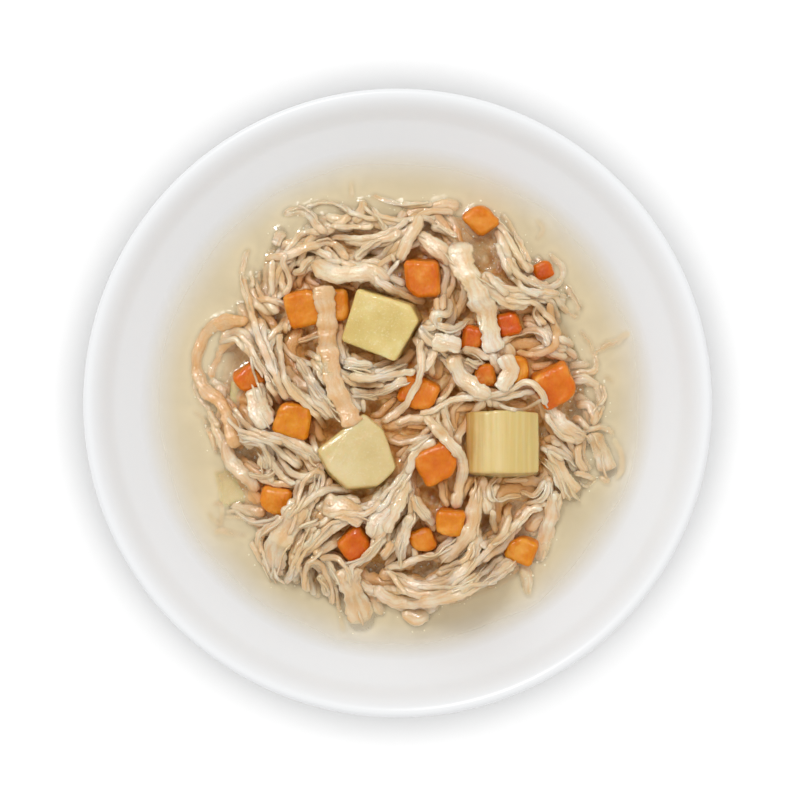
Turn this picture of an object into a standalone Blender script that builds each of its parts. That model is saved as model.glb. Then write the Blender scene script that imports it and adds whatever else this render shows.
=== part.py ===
"""Chicken soup in a shallow coupe bowl: pulled chicken, potato, celery and carrot in a cloudy broth.

Units are metres and +Z is up. The origin is on the table under the bowl's centre.
+Y is the far side of the bowl and +X its right-hand side, for someone looking down on it.
"""

import math
import random

import bmesh
import bpy
import numpy as np
from mathutils import Euler, Matrix, Vector

MM = 0.001
TAU = 2 * math.pi

# Clearance between neighbouring solids, and how deep a shred beds into what it lies on.
GAP = 0.35 * MM
BEDDING = 1.0 * MM

# The bowl: a coupe of glazed porcelain.
RIM_RADIUS = 105 * MM
RIM_HEIGHT = 32 * MM
LIP_WIDTH = 3.4 * MM
FLOOR_RADIUS = 45 * MM
FLOOR_TOP = 6.5 * MM
WELL_DEPTH = 24.5 * MM
FOOT_RADIUS = 57 * MM
FOOT_WIDTH = 4.5 * MM
FOOT_HEIGHT = 2.5 * MM
OUTER_RISE = 27.6 * MM
OUTER_POWER = 1.6
BOWL_STEPS = 60

# The broth wets the bowl out to this radius, which sets its level.
WATERLINE_RADIUS = 87 * MM

# The heap: its outline every 30 degrees, counted from +X towards +Y, and how high it domes over the broth.
HEAP_OUTLINE = [value * MM for value in (64, 63, 68, 64, 65, 61, 61, 63, 67, 69, 65, 63)]
HEAP_RISE = 12.5 * MM
HEAP_SHOULDER = 0.72
RING_STEPS = 52

# Shreds: stations along their length, points round their section, and thickness over width.
STATION_SPACING = 6.2 * MM
SECTION_POINTS = 5
FLATNESS = 0.52
END_TAPER = 0.55
RELIEF_CELL = 1.0 * MM
RELIEF_REACH = 90 * MM

# The broadest shreds, lowest first: width, then the points that each passes over, in mm from the centre.
SHREDS = [
    (5.5, (-50, 26), (-58, 24), (-64, 18), (-65, 8), (-60, 0), (-57, -9), (-55, -16)),
    (3.4, (-63, 1), (-59, -7), (-58, -15), (-52, -23), (-46, -27), (-38, -28)),
    (3.4, (-48, 50), (-52, 42), (-50, 33), (-46, 24), (-42, 14), (-38, 3)),
    (3.4, (-36, 64), (-31, 64), (-26, 59), (-20, 57), (-10, 58), (-5, 61)),
    (3.6, (-45, 48), (-36, 51), (-27, 55), (-20, 54), (-17, 49)),
    (3.4, (-44, 49), (-45, 42), (-44, 35), (-37, 32), (-38, 24), (-39, 13), (-34, 3), (-26, -7)),
    (6.5, (-36, 18), (-31, 8), (-25, 1), (-18, -7)),
    (4.0, (-15, 47), (-8, 54), (0, 59), (7, 62)),
    (4.4, (8, 63), (6, 56), (2, 49), (-3, 42)),
    (6.5, (8, 59), (13, 52), (18, 48)),
    (5.0, (31, 66), (36, 57), (40, 49), (44, 43)),
    (4.0, (36, 49), (41, 43), (48, 39), (54, 42), (55, 47), (51, 50)),
    (7.0, (30, 38), (37, 36), (44, 35)),
    (3.6, (44, 36), (52, 37), (57, 32), (62, 27), (66, 19), (66, 11), (59, 11)),
    (4.0, (51, 33), (53, 24), (50, 18), (42, 17)),
    (7.0, (22, 50), (25, 42), (29, 30), (32, 19), (40, 23), (47, 25), (50, 20)),
    (4.5, (14, 37), (12, 29), (16, 24), (24, 27)),
    (5.5, (10, 20), (16, 19), (21, 18)),
    (6.0, (15, 17), (19, 10), (25, 5), (32, 3)),
    (6.5, (37, 16), (37, 10), (34, 4)),
    (3.6, (33, 3), (41, 7), (47, 4), (50, -2), (55, -9), (61, -12)),
    (6.5, (51, -2), (56, -7), (61, -11)),
    (4.0, (58, 9), (65, 8), (69, 2), (67, -4), (61, -9)),
    (4.0, (62, -10), (70, -12), (74, -18), (71, -26), (65, -23), (62, -15)),
    (7.5, (65, -13), (69, -19), (68, -24)),
    (4.5, (50, -18), (55, -25), (60, -32)),
    (4.0, (58, -20), (63, -24), (69, -24)),
    (5.5, (54, -28), (52, -37), (50, -45), (48, -52)),
    (3.8, (52, -34), (44, -38), (36, -45), (27, -47)),
    (3.4, (34, -26), (33, -32), (42, -31), (50, -28)),
    (6.0, (27, -27), (26, -36), (21, -45), (13, -51)),
    (5.5, (29, -40), (27, -47), (20, -53), (13, -57)),
    (4.4, (1, -56), (7, -61), (15, -61), (24, -56), (31, -52)),
    (4.4, (-9, -60), (-2, -66), (8, -67), (19, -66), (30, -61), (40, -53)),
    (5.0, (1, -69), (6, -71), (11, -71)),
    (9.0, (-16, -56), (-15, -64), (-13, -71), (-10, -77)),
    (4.0, (-26, -51), (-22, -57), (-18, -62)),
    (4.5, (-36, -50), (-33, -56), (-36, -61)),
    (6.0, (-29, -56), (-26, -60), (-24, -64)),
    (8.0, (-31, -36), (-38, -42), (-46, -48)),
    (6.5, (-48, -45), (-44, -52), (-40, -58)),
    (4.5, (-27, -24), (-30, -32), (-30, -45)),
    (5.0, (-33, -51), (-25, -45), (-16, -39), (-11, -37)),
    (5.0, (-53, -12), (-43, -11), (-34, -13), (-27, -20)),
    (3.6, (-43, -15), (-41, -21), (-46, -25), (-51, -20)),
    (3.4, (-41, -18), (-35, -24), (-28, -25), (-26, -19)),
    (6.5, (-49, 3), (-46, -3), (-43, -8)),
    (7.5, (5, -17), (3, -29), (-3, -38), (-9, -45)),
    (4.0, (1, -38), (-6, -48), (-14, -54), (-21, -53)),
    (4.5, (4, -38), (1, -46), (2, -54)),
    (5.0, (8, -4), (14, -8), (19, -17), (21, -27), (20, -34)),
    (3.6, (28, 3), (25, -4), (20, -13)),
    (4.5, (-17, 5), (-9, 5), (-1, 9), (5, 12)),
    (3.6, (8, 22), (8, 15), (7, 9), (1, 0), (-6, -6)),
    (6.5, (-30, 47), (-23, 43), (-12, 43), (-2, 40), (8, 35)),
    (6.5, (-26, 38), (-23, 30), (-22, 17), (-19, 5), (-14, -7)),
]

# Diced carrot: place of the centre, width, depth and height in mm, turn and lean in degrees,
# and how far the top stands over the bare heap.
CARROTS = [
    (8.7, 41.5, 11.5, 12.5, 11, 2, 6, 5.5),
    (-31.0, 31.5, 12.0, 12.0, 10, 12, 5, 4.0),
    (-20.0, 33.0, 7.0, 11.0, 8, 8, 4, 2.4),
    (27.8, 61.8, 8.5, 10.0, 9, 42, 7, 5.4),
    (-49.8, 8.5, 9.0, 8.5, 9, 34, 8, 2.6),
    (-34.7, -5.5, 12.0, 11.0, 10, -12, 4, 5.0),
    (52.3, 6.2, 13.0, 12.5, 11, 28, 9, 6.6),
    (37.5, 26.5, 8.0, 8.0, 9, 15, 5, 1.4),
    (25.2, 21.8, 7.0, 8.5, 9, -14, 6, 0.8),
    (40.9, 11.0, 6.0, 10.0, 9, -6, 4, 3.0),
    (7.6, 3.6, 12.5, 10.5, 10, -24, 7, 2.2),
    (13.2, -19.8, 13.0, 12.0, 11, 27, 8, 5.6),
    (17.8, -40.0, 10.0, 8.6, 9, -8, 6, 5.4),
    (8.4, -45.8, 8.0, 8.0, 8, 20, 5, 2.4),
    (-14.6, -46.8, 10.0, 9.5, 10, 38, 9, 3.2),
    (41.8, -49.0, 9.6, 8.6, 9, -22, 8, 5.6),
    (-40.6, -32.6, 11.0, 8.6, 9, -8, 7, 3.4),
    (49.0, 44.6, 7.5, 6.5, 6, 20, 4, 1.2),
    (29.0, 9.5, 7.0, 8.0, 8, 10, 5, 0.6),
]
CARROT_ROUND = 1.1 * MM
CARROT_JITTER = 0.09
CARROT_SEED = 4

# Potato chunks: outline corners in mm round the piece's own centre, seen from above.
POTATO_BACK = {
    "place": (-5.6, 26.4),
    "outline": ((-12.6, -5.2), (-10.4, -6.2), (5.6, -12.4), (13.6, 1.2), (11.0, 6.6), (-7.0, 12.2)),
    "height": 17,
    "lean": (3, -6),
    "proud": 7.8,
}
POTATO_FRONT = {
    "place": (-13.4, -16.8),
    "outline": ((-14.0, 0.8), (-9.8, -6.8), (-3.6, -12.2), (6.6, -11.4), (12.8, -5.4), (8.6, 7.2), (1.8, 13.2)),
    "height": 15,
    "lean": (-5, 4),
    "proud": 6.8,
}
POTATO_ROUND = 1.7 * MM

# The celery: one length cut from a stalk, its strings running along Y.
CELERY_PLACE = (35.0, -13.2)
CELERY_WIDTH = 24.5 * MM
CELERY_LENGTH = 20.0 * MM
CELERY_HEIGHT = 14.5 * MM
CELERY_EDGE_HEIGHT = 9.0 * MM
CELERY_PROUD = 7.0
CELERY_RIBS = 8
CELERY_RIB_DEPTH = 0.28 * MM
CELERY_ROUND = 0.7 * MM
CELERY_LEAN = (-7, 2)


def well_height(radius):
    """Height of the bowl's inner surface at a distance from the axis."""
    run = RIM_RADIUS - LIP_WIDTH - FLOOR_RADIUS
    return FLOOR_TOP + WELL_DEPTH * max(0.0, (radius - FLOOR_RADIUS) / run) ** 2


def well_radius(height):
    """Distance from the axis at which the bowl's inner surface reaches a height."""
    run = RIM_RADIUS - LIP_WIDTH - FLOOR_RADIUS
    return FLOOR_RADIUS + run * math.sqrt((height - FLOOR_TOP) / WELL_DEPTH)


LEVEL = well_height(WATERLINE_RADIUS)


def heap_radius(angle):
    """The heap's outline at an angle: a smooth closed curve through HEAP_OUTLINE."""
    count = len(HEAP_OUTLINE)
    place = (angle % TAU) / TAU * count
    first = int(place) % count
    share = place - int(place)
    before, start, end, after = (HEAP_OUTLINE[(first + step) % count] for step in (-1, 0, 1, 2))
    slope_in, slope_out = (end - before) / 2, (after - start) / 2
    bend = 2 * start - 2 * end + slope_in + slope_out
    return start + share * (slope_in + share * (3 * (end - start) - 2 * slope_in - slope_out + share * bend))


def heap_top(x, y):
    """Height of the bare heap's top, which domes over the broth."""
    share = min(1.0, math.hypot(x, y) / heap_radius(math.atan2(y, x)))
    return LEVEL + HEAP_RISE * (1 - share**2) ** HEAP_SHOULDER


def make_object(name, bm, material, parent=None):
    """Turns a bmesh into a smooth-shaded object with its own material."""
    bmesh.ops.recalc_face_normals(bm, faces=bm.faces)
    if bm.calc_volume(signed=True) < 0:
        bmesh.ops.reverse_faces(bm, faces=bm.faces)
    mesh = bpy.data.meshes.new(name)
    bm.to_mesh(mesh)
    bm.free()
    obj = bpy.data.objects.new(name, mesh)
    bpy.context.scene.collection.objects.link(obj)
    mesh.materials.append(material)
    mesh.shade_smooth()
    mesh.set_sharp_from_angle(angle=math.radians(38))
    obj.parent = parent
    return obj


def make_material(name, colour, roughness, subsurface=0.0):
    """A Principled material of one colour, given in linear RGB."""
    material = bpy.data.materials.new(name)
    material.use_nodes = True
    shader = material.node_tree.nodes["Principled BSDF"]
    shader.inputs["Base Color"].default_value = (*colour, 1.0)
    shader.inputs["Roughness"].default_value = roughness
    shader.inputs["Metallic"].default_value = 0.0
    shader.inputs["Subsurface Weight"].default_value = subsurface
    material.diffuse_color = (*colour, 1.0)
    return material


def skin_rings(rings, start=None, end=None, closed=False):
    """A bmesh skin over equal rings of points. start and end are cap points, closed joins the last ring to the first."""
    bm = bmesh.new()
    loops = [[bm.verts.new(point) for point in ring] for ring in rings]
    pairs = list(zip(loops, loops[1:]))
    if closed:
        pairs.append((loops[-1], loops[0]))
    for lower, upper in pairs:
        for index in range(len(lower)):
            after = (index + 1) % len(lower)
            bm.faces.new((lower[index], lower[after], upper[after], upper[index]))
    for tip, loop in ((start, loops[0]), (end, loops[-1])):
        if tip is None:
            continue
        cap = bm.verts.new(tip)
        for index in range(len(loop)):
            bm.faces.new((loop[index], loop[(index + 1) % len(loop)], cap))
    return bm


def make_bowl(material, parent):
    """The bowl is one profile, spun round the axis."""
    lip_inner = RIM_RADIUS - LIP_WIDTH
    profile = [(0.0, FOOT_HEIGHT), (FOOT_RADIUS - FOOT_WIDTH - 1.2 * MM, FOOT_HEIGHT)]
    profile += [(FOOT_RADIUS - FOOT_WIDTH, 0.0), (FOOT_RADIUS, 0.0), (FOOT_RADIUS + 1.3 * MM, 1.6 * MM)]
    outer_start, outer_run = FOOT_RADIUS + 1.3 * MM, RIM_RADIUS - FOOT_RADIUS - 1.5 * MM
    for step in range(1, 9):
        share = step / 8
        profile.append((outer_start + outer_run * share, 1.6 * MM + OUTER_RISE * share**OUTER_POWER))
    profile += [(RIM_RADIUS, RIM_HEIGHT - 1.3 * MM), (RIM_RADIUS - 0.5 * MM, RIM_HEIGHT - 0.35 * MM)]
    profile += [(RIM_RADIUS - 1.4 * MM, RIM_HEIGHT), (lip_inner + 0.7 * MM, RIM_HEIGHT - 0.2 * MM)]
    for step in range(10):
        radius = lip_inner + (FLOOR_RADIUS - 2 * MM - lip_inner) * step / 9
        profile.append((radius, well_height(radius)))
    profile.append((0.0, FLOOR_TOP))
    bm = bmesh.new()
    verts = [bm.verts.new((radius, 0.0, height)) for radius, height in profile]
    edges = [bm.edges.new(pair) for pair in zip(verts, verts[1:])]
    bmesh.ops.spin(bm, geom=verts + edges, axis=(0, 0, 1), cent=(0, 0, 0), angle=TAU, steps=BOWL_STEPS)
    bmesh.ops.remove_doubles(bm, verts=bm.verts, dist=0.01 * MM)
    return make_object("bowl", bm, material, parent)


def outline_ring(share, height_at, grow=0.0):
    """One ring of the heap's outline, scaled by share and grown outwards."""
    ring = []
    for step in range(RING_STEPS):
        angle = TAU * step / RING_STEPS
        radius = heap_radius(angle) * share + grow
        x, y = radius * math.cos(angle), radius * math.sin(angle)
        ring.append((x, y, height_at(x, y)))
    return ring


def above_well(x, y):
    """The lowest that a solid may reach over the bowl's inner surface."""
    return well_height(math.hypot(x, y)) + GAP


def make_heap_core(material, parent):
    """The heap without its shreds: it follows the bowl below, stands straight through the broth and domes over it."""
    rings = [outline_ring(share, above_well) for share in (0.35, 0.7, 0.86, 1.0)]
    rings += [outline_ring(share, heap_top) for share in (1.0, 0.975, 0.93, 0.85, 0.73, 0.58, 0.4, 0.2)]
    bm = skin_rings(rings, start=(0, 0, FLOOR_TOP + GAP), end=(0, 0, heap_top(0, 0)))
    return make_object("chicken_heap", bm, material, parent)


def make_broth(material, parent):
    """The broth fills the well from the heap's side out to a fine edge on the bowl."""
    edge = well_radius(LEVEL - GAP)

    def across(share, height_at):
        """A ring this share of the way from the heap's outline to the waterline."""
        ring = []
        for x, y, _ in outline_ring(1.0, above_well, grow=GAP):
            inner = math.hypot(x, y)
            scale = (inner + (edge - inner) * share) / inner
            ring.append((x * scale, y * scale, height_at(x * scale, y * scale)))
        return ring

    rings = [across(share, above_well) for share in (0.0, 0.35, 0.7)]
    rings.append(across(1.0, lambda x, y: LEVEL))
    rings.append(across(0.0, lambda x, y: LEVEL))
    return make_object("broth", skin_rings(rings, closed=True), material, parent)


def tilt_matrix(turn, lean_x, lean_y):
    """Rotation for a piece that is turned about Z and then leans about X and Y, in degrees."""
    return Euler([math.radians(angle) for angle in (lean_x, lean_y, turn)], "XYZ").to_matrix().to_4x4()


def place_piece(obj, x, y, height, turn, lean, proud):
    """Puts a piece in the heap with its top proud of the bare heap."""
    top = heap_top(x, y) + proud * MM
    obj.location = (x, y, top - height / 2)
    obj.rotation_euler = [math.radians(angle) for angle in (*lean, turn)]


def block_bmesh(outline, height, rounding, segments=2):
    """A prism over an outline, centred on the origin, with its edges rounded."""
    bm = bmesh.new()
    base = bm.faces.new([bm.verts.new((x, y, -height / 2)) for x, y in outline])
    raised = bmesh.ops.extrude_face_region(bm, geom=[base])
    top = [item for item in raised["geom"] if isinstance(item, bmesh.types.BMVert)]
    bmesh.ops.translate(bm, verts=top, vec=(0, 0, height))
    bmesh.ops.bevel(
        bm, geom=bm.edges[:], offset=rounding, segments=segments, profile=0.6, affect="EDGES", clamp_overlap=True
    )
    return bm


def make_carrots(material, parent):
    """Diced carrot: each is a knife-cut block with slightly uneven corners."""
    draw = random.Random(CARROT_SEED)
    pieces = []
    for number, (x, y, width, depth, height, turn, lean, proud) in enumerate(CARROTS, 1):
        corners = []
        for side_x, side_y in ((-1, -1), (1, -1), (1, 1), (-1, 1)):
            uneven_x, uneven_y = draw.uniform(-1, 1), draw.uniform(-1, 1)
            corners.append(
                (
                    side_x * width / 2 * MM * (1 + CARROT_JITTER * uneven_x),
                    side_y * depth / 2 * MM * (1 + CARROT_JITTER * uneven_y),
                )
            )
        cut = draw.randrange(4)
        before, corner, after = (Vector(corners[(cut + step) % 4]) for step in (-1, 0, 1))
        share = draw.uniform(0.2, 0.34)
        corners[cut : cut + 1] = [corner.lerp(before, share)[:], corner.lerp(after, share)[:]]
        bm = block_bmesh(corners, height * MM, CARROT_ROUND, segments=1)
        piece = make_object(f"carrot_{number:02d}", bm, material, parent)
        place_piece(piece, x * MM, y * MM, height * MM, turn, (lean, -lean / 2), proud)
        pieces.append(piece)
    return pieces


def make_potato(name, spec, material, parent):
    """A boiled potato chunk with soft edges."""
    outline = [(x * MM, y * MM) for x, y in spec["outline"]]
    bm = block_bmesh(outline, spec["height"] * MM, POTATO_ROUND)
    piece = make_object(name, bm, material, parent)
    x, y = spec["place"]
    place_piece(piece, x * MM, y * MM, spec["height"] * MM, 0, spec["lean"], spec["proud"])
    return piece


def make_celery(material, parent):
    """A length of stalk: a low arch with shallow ribs, cut square at both ends."""
    half = CELERY_WIDTH / 2
    rise = CELERY_HEIGHT - CELERY_EDGE_HEIGHT
    section = [(-half * 0.92, -CELERY_HEIGHT / 2), (half * 0.92, -CELERY_HEIGHT / 2)]
    steps = 2 * CELERY_RIBS
    for step in range(steps + 1):
        share = 1 - 2 * step / steps
        rib = CELERY_RIB_DEPTH * (step % 2)
        top = CELERY_HEIGHT / 2 - rise * share**2 - rib
        section.append((half * share, top))
    bm = bmesh.new()
    face = bm.faces.new([bm.verts.new((x, -CELERY_LENGTH / 2, z)) for x, z in section])
    pushed = bmesh.ops.extrude_face_region(bm, geom=[face])
    far = [item for item in pushed["geom"] if isinstance(item, bmesh.types.BMVert)]
    bmesh.ops.translate(bm, verts=far, vec=(0, CELERY_LENGTH, 0))
    piece = make_object("celery", bm, material, parent)
    x, y = CELERY_PLACE
    place_piece(piece, x * MM, y * MM, CELERY_HEIGHT, 0, CELERY_LEAN, CELERY_PROUD)
    return piece


class Relief:
    """A grid of the highest solid at each place, on which shreds are laid one after another."""

    def __init__(self, pieces):
        count = int(2 * RELIEF_REACH / RELIEF_CELL) + 1
        self.axis = np.linspace(-RELIEF_REACH, RELIEF_REACH, count)
        self.x, self.y = np.meshgrid(self.axis, self.axis, indexing="ij")
        self.height = np.full(self.x.shape, LEVEL + GAP + BEDDING)
        for column, row in np.ndindex(self.x.shape):
            x, y = self.x[column, row], self.y[column, row]
            if math.hypot(x, y) < heap_radius(math.atan2(y, x)):
                self.height[column, row] = max(self.height[column, row], heap_top(x, y))
        for piece in pieces:
            self.raise_to_piece(piece)

    def raise_to_piece(self, piece):
        """Lifts the grid to a food piece's top wherever the piece covers it."""
        matrix = piece.matrix_world
        corners = [matrix @ vertex.co for vertex in piece.data.vertices]
        low = Vector(min(corner[i] for corner in corners) for i in range(3))
        high = Vector(max(corner[i] for corner in corners) for i in range(3))
        inverse = matrix.inverted()
        down = (inverse.to_3x3() @ Vector((0, 0, -1))).normalized()
        columns = np.flatnonzero((self.axis > low.x) & (self.axis < high.x))
        rows = np.flatnonzero((self.axis > low.y) & (self.axis < high.y))
        for column in columns:
            for row in rows:
                above = inverse @ Vector((self.axis[column], self.axis[row], high.z + 10 * MM))
                hit, point, _, _ = piece.ray_cast(above, down)
                if hit:
                    self.height[column, row] = max(self.height[column, row], (matrix @ point).z)

    def under(self, x, y, reach):
        """The mean height of what lies within reach of a point."""
        near = (self.x - x) ** 2 + (self.y - y) ** 2 <= reach**2
        return self.height[near].mean()

    def add(self, x, y, z, half_width, half_thickness):
        """Adds one station of a laid shred."""
        share = ((self.x - x) ** 2 + (self.y - y) ** 2) / half_width**2
        near = share < 1
        top = z + half_thickness * np.sqrt(1 - share[near])
        self.height[near] = np.maximum(self.height[near], top)


def smooth_route(points, spacing):
    """Evenly spaced points on a smooth curve through the given ones."""
    ends = [2 * points[0] - points[1], *points, 2 * points[-1] - points[-2]]
    dense = []
    for before, start, end, after in zip(ends, ends[1:], ends[2:], ends[3:]):
        for step in range(8):
            t = step / 8
            slope = (end - before) * t + (2 * before - 5 * start + 4 * end - after) * t**2
            dense.append(start + 0.5 * (slope + (3 * start - before - 3 * end + after) * t**3))
    dense.append(points[-1])
    lengths = [0.0]
    for first, second in zip(dense, dense[1:]):
        lengths.append(lengths[-1] + (second - first).length)
    count = max(4, round(lengths[-1] / spacing) + 1)
    wanted = np.linspace(0, lengths[-1], count)
    columns = [np.interp(wanted, lengths, [point[i] for point in dense]) for i in range(2)]
    return [Vector(pair) for pair in zip(*columns)]


def lay_shred(width, points, relief):
    """One shred laid along a route over what is there already, as a skin of flat oval rings."""
    half_width = width * MM / 2
    half_thickness = half_width * FLATNESS
    route = smooth_route([Vector(point) * MM for point in points], STATION_SPACING)
    rest = [relief.under(point.x, point.y, half_width) + half_thickness - BEDDING for point in route]
    heights = rest[:1]
    for before, low, after in zip(rest, rest[1:], rest[2:]):
        heights.append(max(low, (before + after) / 2))
    heights.append(rest[-1])
    rings = []
    last = len(route) - 1
    for index, (point, height) in enumerate(zip(route, heights)):
        along = (route[min(index + 1, last)] - route[max(index - 1, 0)]).normalized()
        across = Vector((-along.y, along.x))
        taper = END_TAPER if index in (0, last) else 1.0
        ring = []
        for step in range(SECTION_POINTS):
            turn = TAU * step / SECTION_POINTS
            side = across * half_width * taper * math.cos(turn)
            lift = half_thickness * taper * math.sin(turn)
            ring.append((point.x + side.x, point.y + side.y, height + lift))
        rings.append(ring)
    for point, height in zip(route, heights):
        relief.add(point.x, point.y, height, half_width, half_thickness)
    tips = []
    for end, beside in ((0, 1), (last, last - 1)):
        beyond = route[end] + (route[end] - route[beside]).normalized() * half_width * 0.4
        tips.append((beyond.x, beyond.y, heights[end]))
    return skin_rings(rings, start=tips[0], end=tips[1])


def bake(obj, operation, collection):
    """Runs one Boolean of a collection on an object and keeps the result as its mesh."""
    cut = obj.modifiers.new(operation.lower(), "BOOLEAN")
    cut.operation = operation
    cut.operand_type = "COLLECTION"
    cut.collection = collection
    graph = bpy.context.evaluated_depsgraph_get()
    result = bpy.data.meshes.new_from_object(obj.evaluated_get(graph))
    obj.modifiers.clear()
    material = obj.data.materials[0]
    obj.data = result
    result.name = obj.name
    result.materials.clear()
    result.materials.append(material)


def empty_collection(collection):
    """Removes a helper collection with all that is in it."""
    for obj in list(collection.objects):
        bpy.data.objects.remove(obj)
    bpy.data.collections.remove(collection)


def helper_collection(name, objects):
    """A collection of Boolean operands, kept out of the finished object."""
    collection = bpy.data.collections.new(name)
    bpy.context.scene.collection.children.link(collection)
    for obj in objects:
        bpy.context.scene.collection.objects.unlink(obj)
        collection.objects.link(obj)
        obj.hide_render = True
        obj.display_type = "WIRE"
    return collection


def pocket_cutter(piece, material):
    """A piece grown by the clearance, for cutting the pocket that it sits in."""
    bm = bmesh.new()
    bm.from_mesh(piece.data)
    half = [max(abs(vertex.co[i]) for vertex in bm.verts) for i in range(3)]
    grow = Matrix.Diagonal([(size + 1.25 * GAP) / size for size in half] + [1.0])
    bmesh.ops.transform(bm, matrix=piece.matrix_world @ grow, verts=bm.verts)
    return make_object(f"pocket_{piece.name}", bm, material)


def keep_largest_body(obj):
    """Drops the loose scraps that a cut leaves."""
    bm = bmesh.new()
    bm.from_mesh(obj.data)
    left = set(bm.verts)
    bodies = []
    while left:
        edge = [left.pop()]
        body = set(edge)
        while edge:
            for link in edge.pop().link_edges:
                for vertex in link.verts:
                    if vertex in left:
                        left.remove(vertex)
                        body.add(vertex)
                        edge.append(vertex)
        bodies.append(body)
    largest = max(bodies, key=len)
    bmesh.ops.delete(bm, geom=[vertex for vertex in bm.verts if vertex not in largest], context="VERTS")
    bm.to_mesh(obj.data)
    bm.free()


def fuse_shreds(heap, pieces, material):
    """Lays the shreds over the heap and joins them to it as one body."""
    relief = Relief(pieces)
    shreds = []
    for number, (width, *points) in enumerate(SHREDS, 1):
        shreds.append(make_object(f"shred_{number:02d}", lay_shred(width, points, relief), material))
    operands = helper_collection("shreds", shreds)
    bake(heap, "UNION", operands)
    empty_collection(operands)


def cut_pockets(solids, pieces, material):
    """Clears the heap and the broth round every food piece."""
    cutters = helper_collection("pockets", [pocket_cutter(piece, material) for piece in pieces])
    for solid in solids:
        bake(solid, "DIFFERENCE", cutters)
        keep_largest_body(solid)
    empty_collection(cutters)


def main():
    for obj in list(bpy.data.objects):
        bpy.data.objects.remove(obj)
    soup = bpy.data.objects.new("soup", None)
    bpy.context.scene.collection.objects.link(soup)
    porcelain = make_material("glazed_porcelain", (0.80, 0.80, 0.80), 0.25)
    liquid = make_material("cloudy_broth", (0.66, 0.57, 0.38), 0.10)
    chicken = make_material("pulled_chicken", (0.78, 0.64, 0.46), 0.45, subsurface=0.1)
    carrot = make_material("boiled_carrot", (0.80, 0.24, 0.03), 0.35, subsurface=0.1)
    potato = make_material("boiled_potato", (0.77, 0.66, 0.30), 0.45, subsurface=0.1)
    celery = make_material("boiled_celery", (0.76, 0.64, 0.28), 0.40, subsurface=0.1)

    make_bowl(porcelain, soup)
    broth = make_broth(liquid, soup)
    heap = make_heap_core(chicken, soup)
    pieces = make_carrots(carrot, soup)
    pieces.append(make_potato("potato_back", POTATO_BACK, potato, soup))
    pieces.append(make_potato("potato_front", POTATO_FRONT, potato, soup))
    pieces.append(make_celery(celery, soup))
    bpy.context.view_layer.update()
    fuse_shreds(heap, pieces, chicken)
    cut_pockets((heap, broth), pieces, chicken)


main()
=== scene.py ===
# %% [markdown]
# # Chicken soup in a coupe bowl
# The object is one serving of soup, seen from straight above: pulled chicken heaped in a shallow white
# bowl, with potato, celery and diced carrot between the shreds and a pale cloudy broth round them.
# The imported solids give every size. This lesson dresses them: each step says what the real thing is,
# how it could be made in Blender, and why one way was chosen.

# %% Load the solids
import math
import random

import bmesh
import bpy
import numpy as np
from mathutils import Matrix, Vector, noise
from mathutils.bvhtree import BVHTree


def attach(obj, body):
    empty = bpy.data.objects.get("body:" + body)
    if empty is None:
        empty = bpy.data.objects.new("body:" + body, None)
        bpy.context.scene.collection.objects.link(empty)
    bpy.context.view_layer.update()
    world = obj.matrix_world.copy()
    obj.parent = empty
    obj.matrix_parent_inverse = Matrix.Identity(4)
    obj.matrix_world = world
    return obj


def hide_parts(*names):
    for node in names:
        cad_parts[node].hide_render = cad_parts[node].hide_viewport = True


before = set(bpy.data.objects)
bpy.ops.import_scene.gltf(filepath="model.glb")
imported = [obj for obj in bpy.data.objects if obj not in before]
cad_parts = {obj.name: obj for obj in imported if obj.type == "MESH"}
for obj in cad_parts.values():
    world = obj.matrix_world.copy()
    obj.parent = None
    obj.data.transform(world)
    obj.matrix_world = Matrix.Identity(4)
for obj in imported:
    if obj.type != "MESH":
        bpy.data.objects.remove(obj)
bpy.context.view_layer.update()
MM = 0.001
TAU = 2 * math.pi
print("nodes:", ", ".join(sorted(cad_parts)))

# %% [markdown]
# ## The bowl's and the heap's sizes
# The solids follow a few plain rules, and the scene repeats them, because the fine surfaces have to
# fit the same bowl. The well is a parabola beyond its flat floor. The broth stands as high as its
# waterline on the well. The heap has an outline every 30 degrees and domes over the broth.

# %% Sizes shared with the solids
RIM_RADIUS, RIM_HEIGHT, LIP_WIDTH = 105 * MM, 32 * MM, 3.4 * MM
FLOOR_RADIUS, FLOOR_TOP, WELL_DEPTH = 45 * MM, 6.5 * MM, 24.5 * MM
FOOT_RADIUS, FOOT_WIDTH, FOOT_HEIGHT = 57 * MM, 4.5 * MM, 2.5 * MM
OUTER_RISE, OUTER_POWER = 27.6 * MM, 1.6
WATERLINE_RADIUS = 87 * MM
HEAP_OUTLINE = [value * MM for value in (64, 63, 68, 64, 65, 61, 61, 63, 67, 69, 65, 63)]
HEAP_RISE, HEAP_SHOULDER = 12.5 * MM, 0.72
WELL_RUN = RIM_RADIUS - LIP_WIDTH - FLOOR_RADIUS


def well_height(radius):
    """Height of the bowl's inner surface at a distance from the axis."""
    return FLOOR_TOP + WELL_DEPTH * np.maximum(0.0, (radius - FLOOR_RADIUS) / WELL_RUN) ** 2


def heap_radius(angle):
    """The heap's outline: a smooth closed curve through HEAP_OUTLINE."""
    outline = np.array(HEAP_OUTLINE)
    count = len(outline)
    place = (angle % TAU) / TAU * count
    first = np.floor(place).astype(int)
    share = place - first
    before, start, end, after = (outline[(first + step) % count] for step in (-1, 0, 1, 2))
    slope_in, slope_out = (end - before) / 2, (after - start) / 2
    bend = 2 * start - 2 * end + slope_in + slope_out
    rise = 3 * (end - start) - 2 * slope_in - slope_out
    return start + share * (slope_in + share * (rise + share * bend))


def heap_top(x, y):
    """Height of the bare heap over the table."""
    share = np.minimum(1.0, np.hypot(x, y) / heap_radius(np.arctan2(y, x)))
    return LEVEL + HEAP_RISE * (1 - share**2) ** HEAP_SHOULDER


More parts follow.
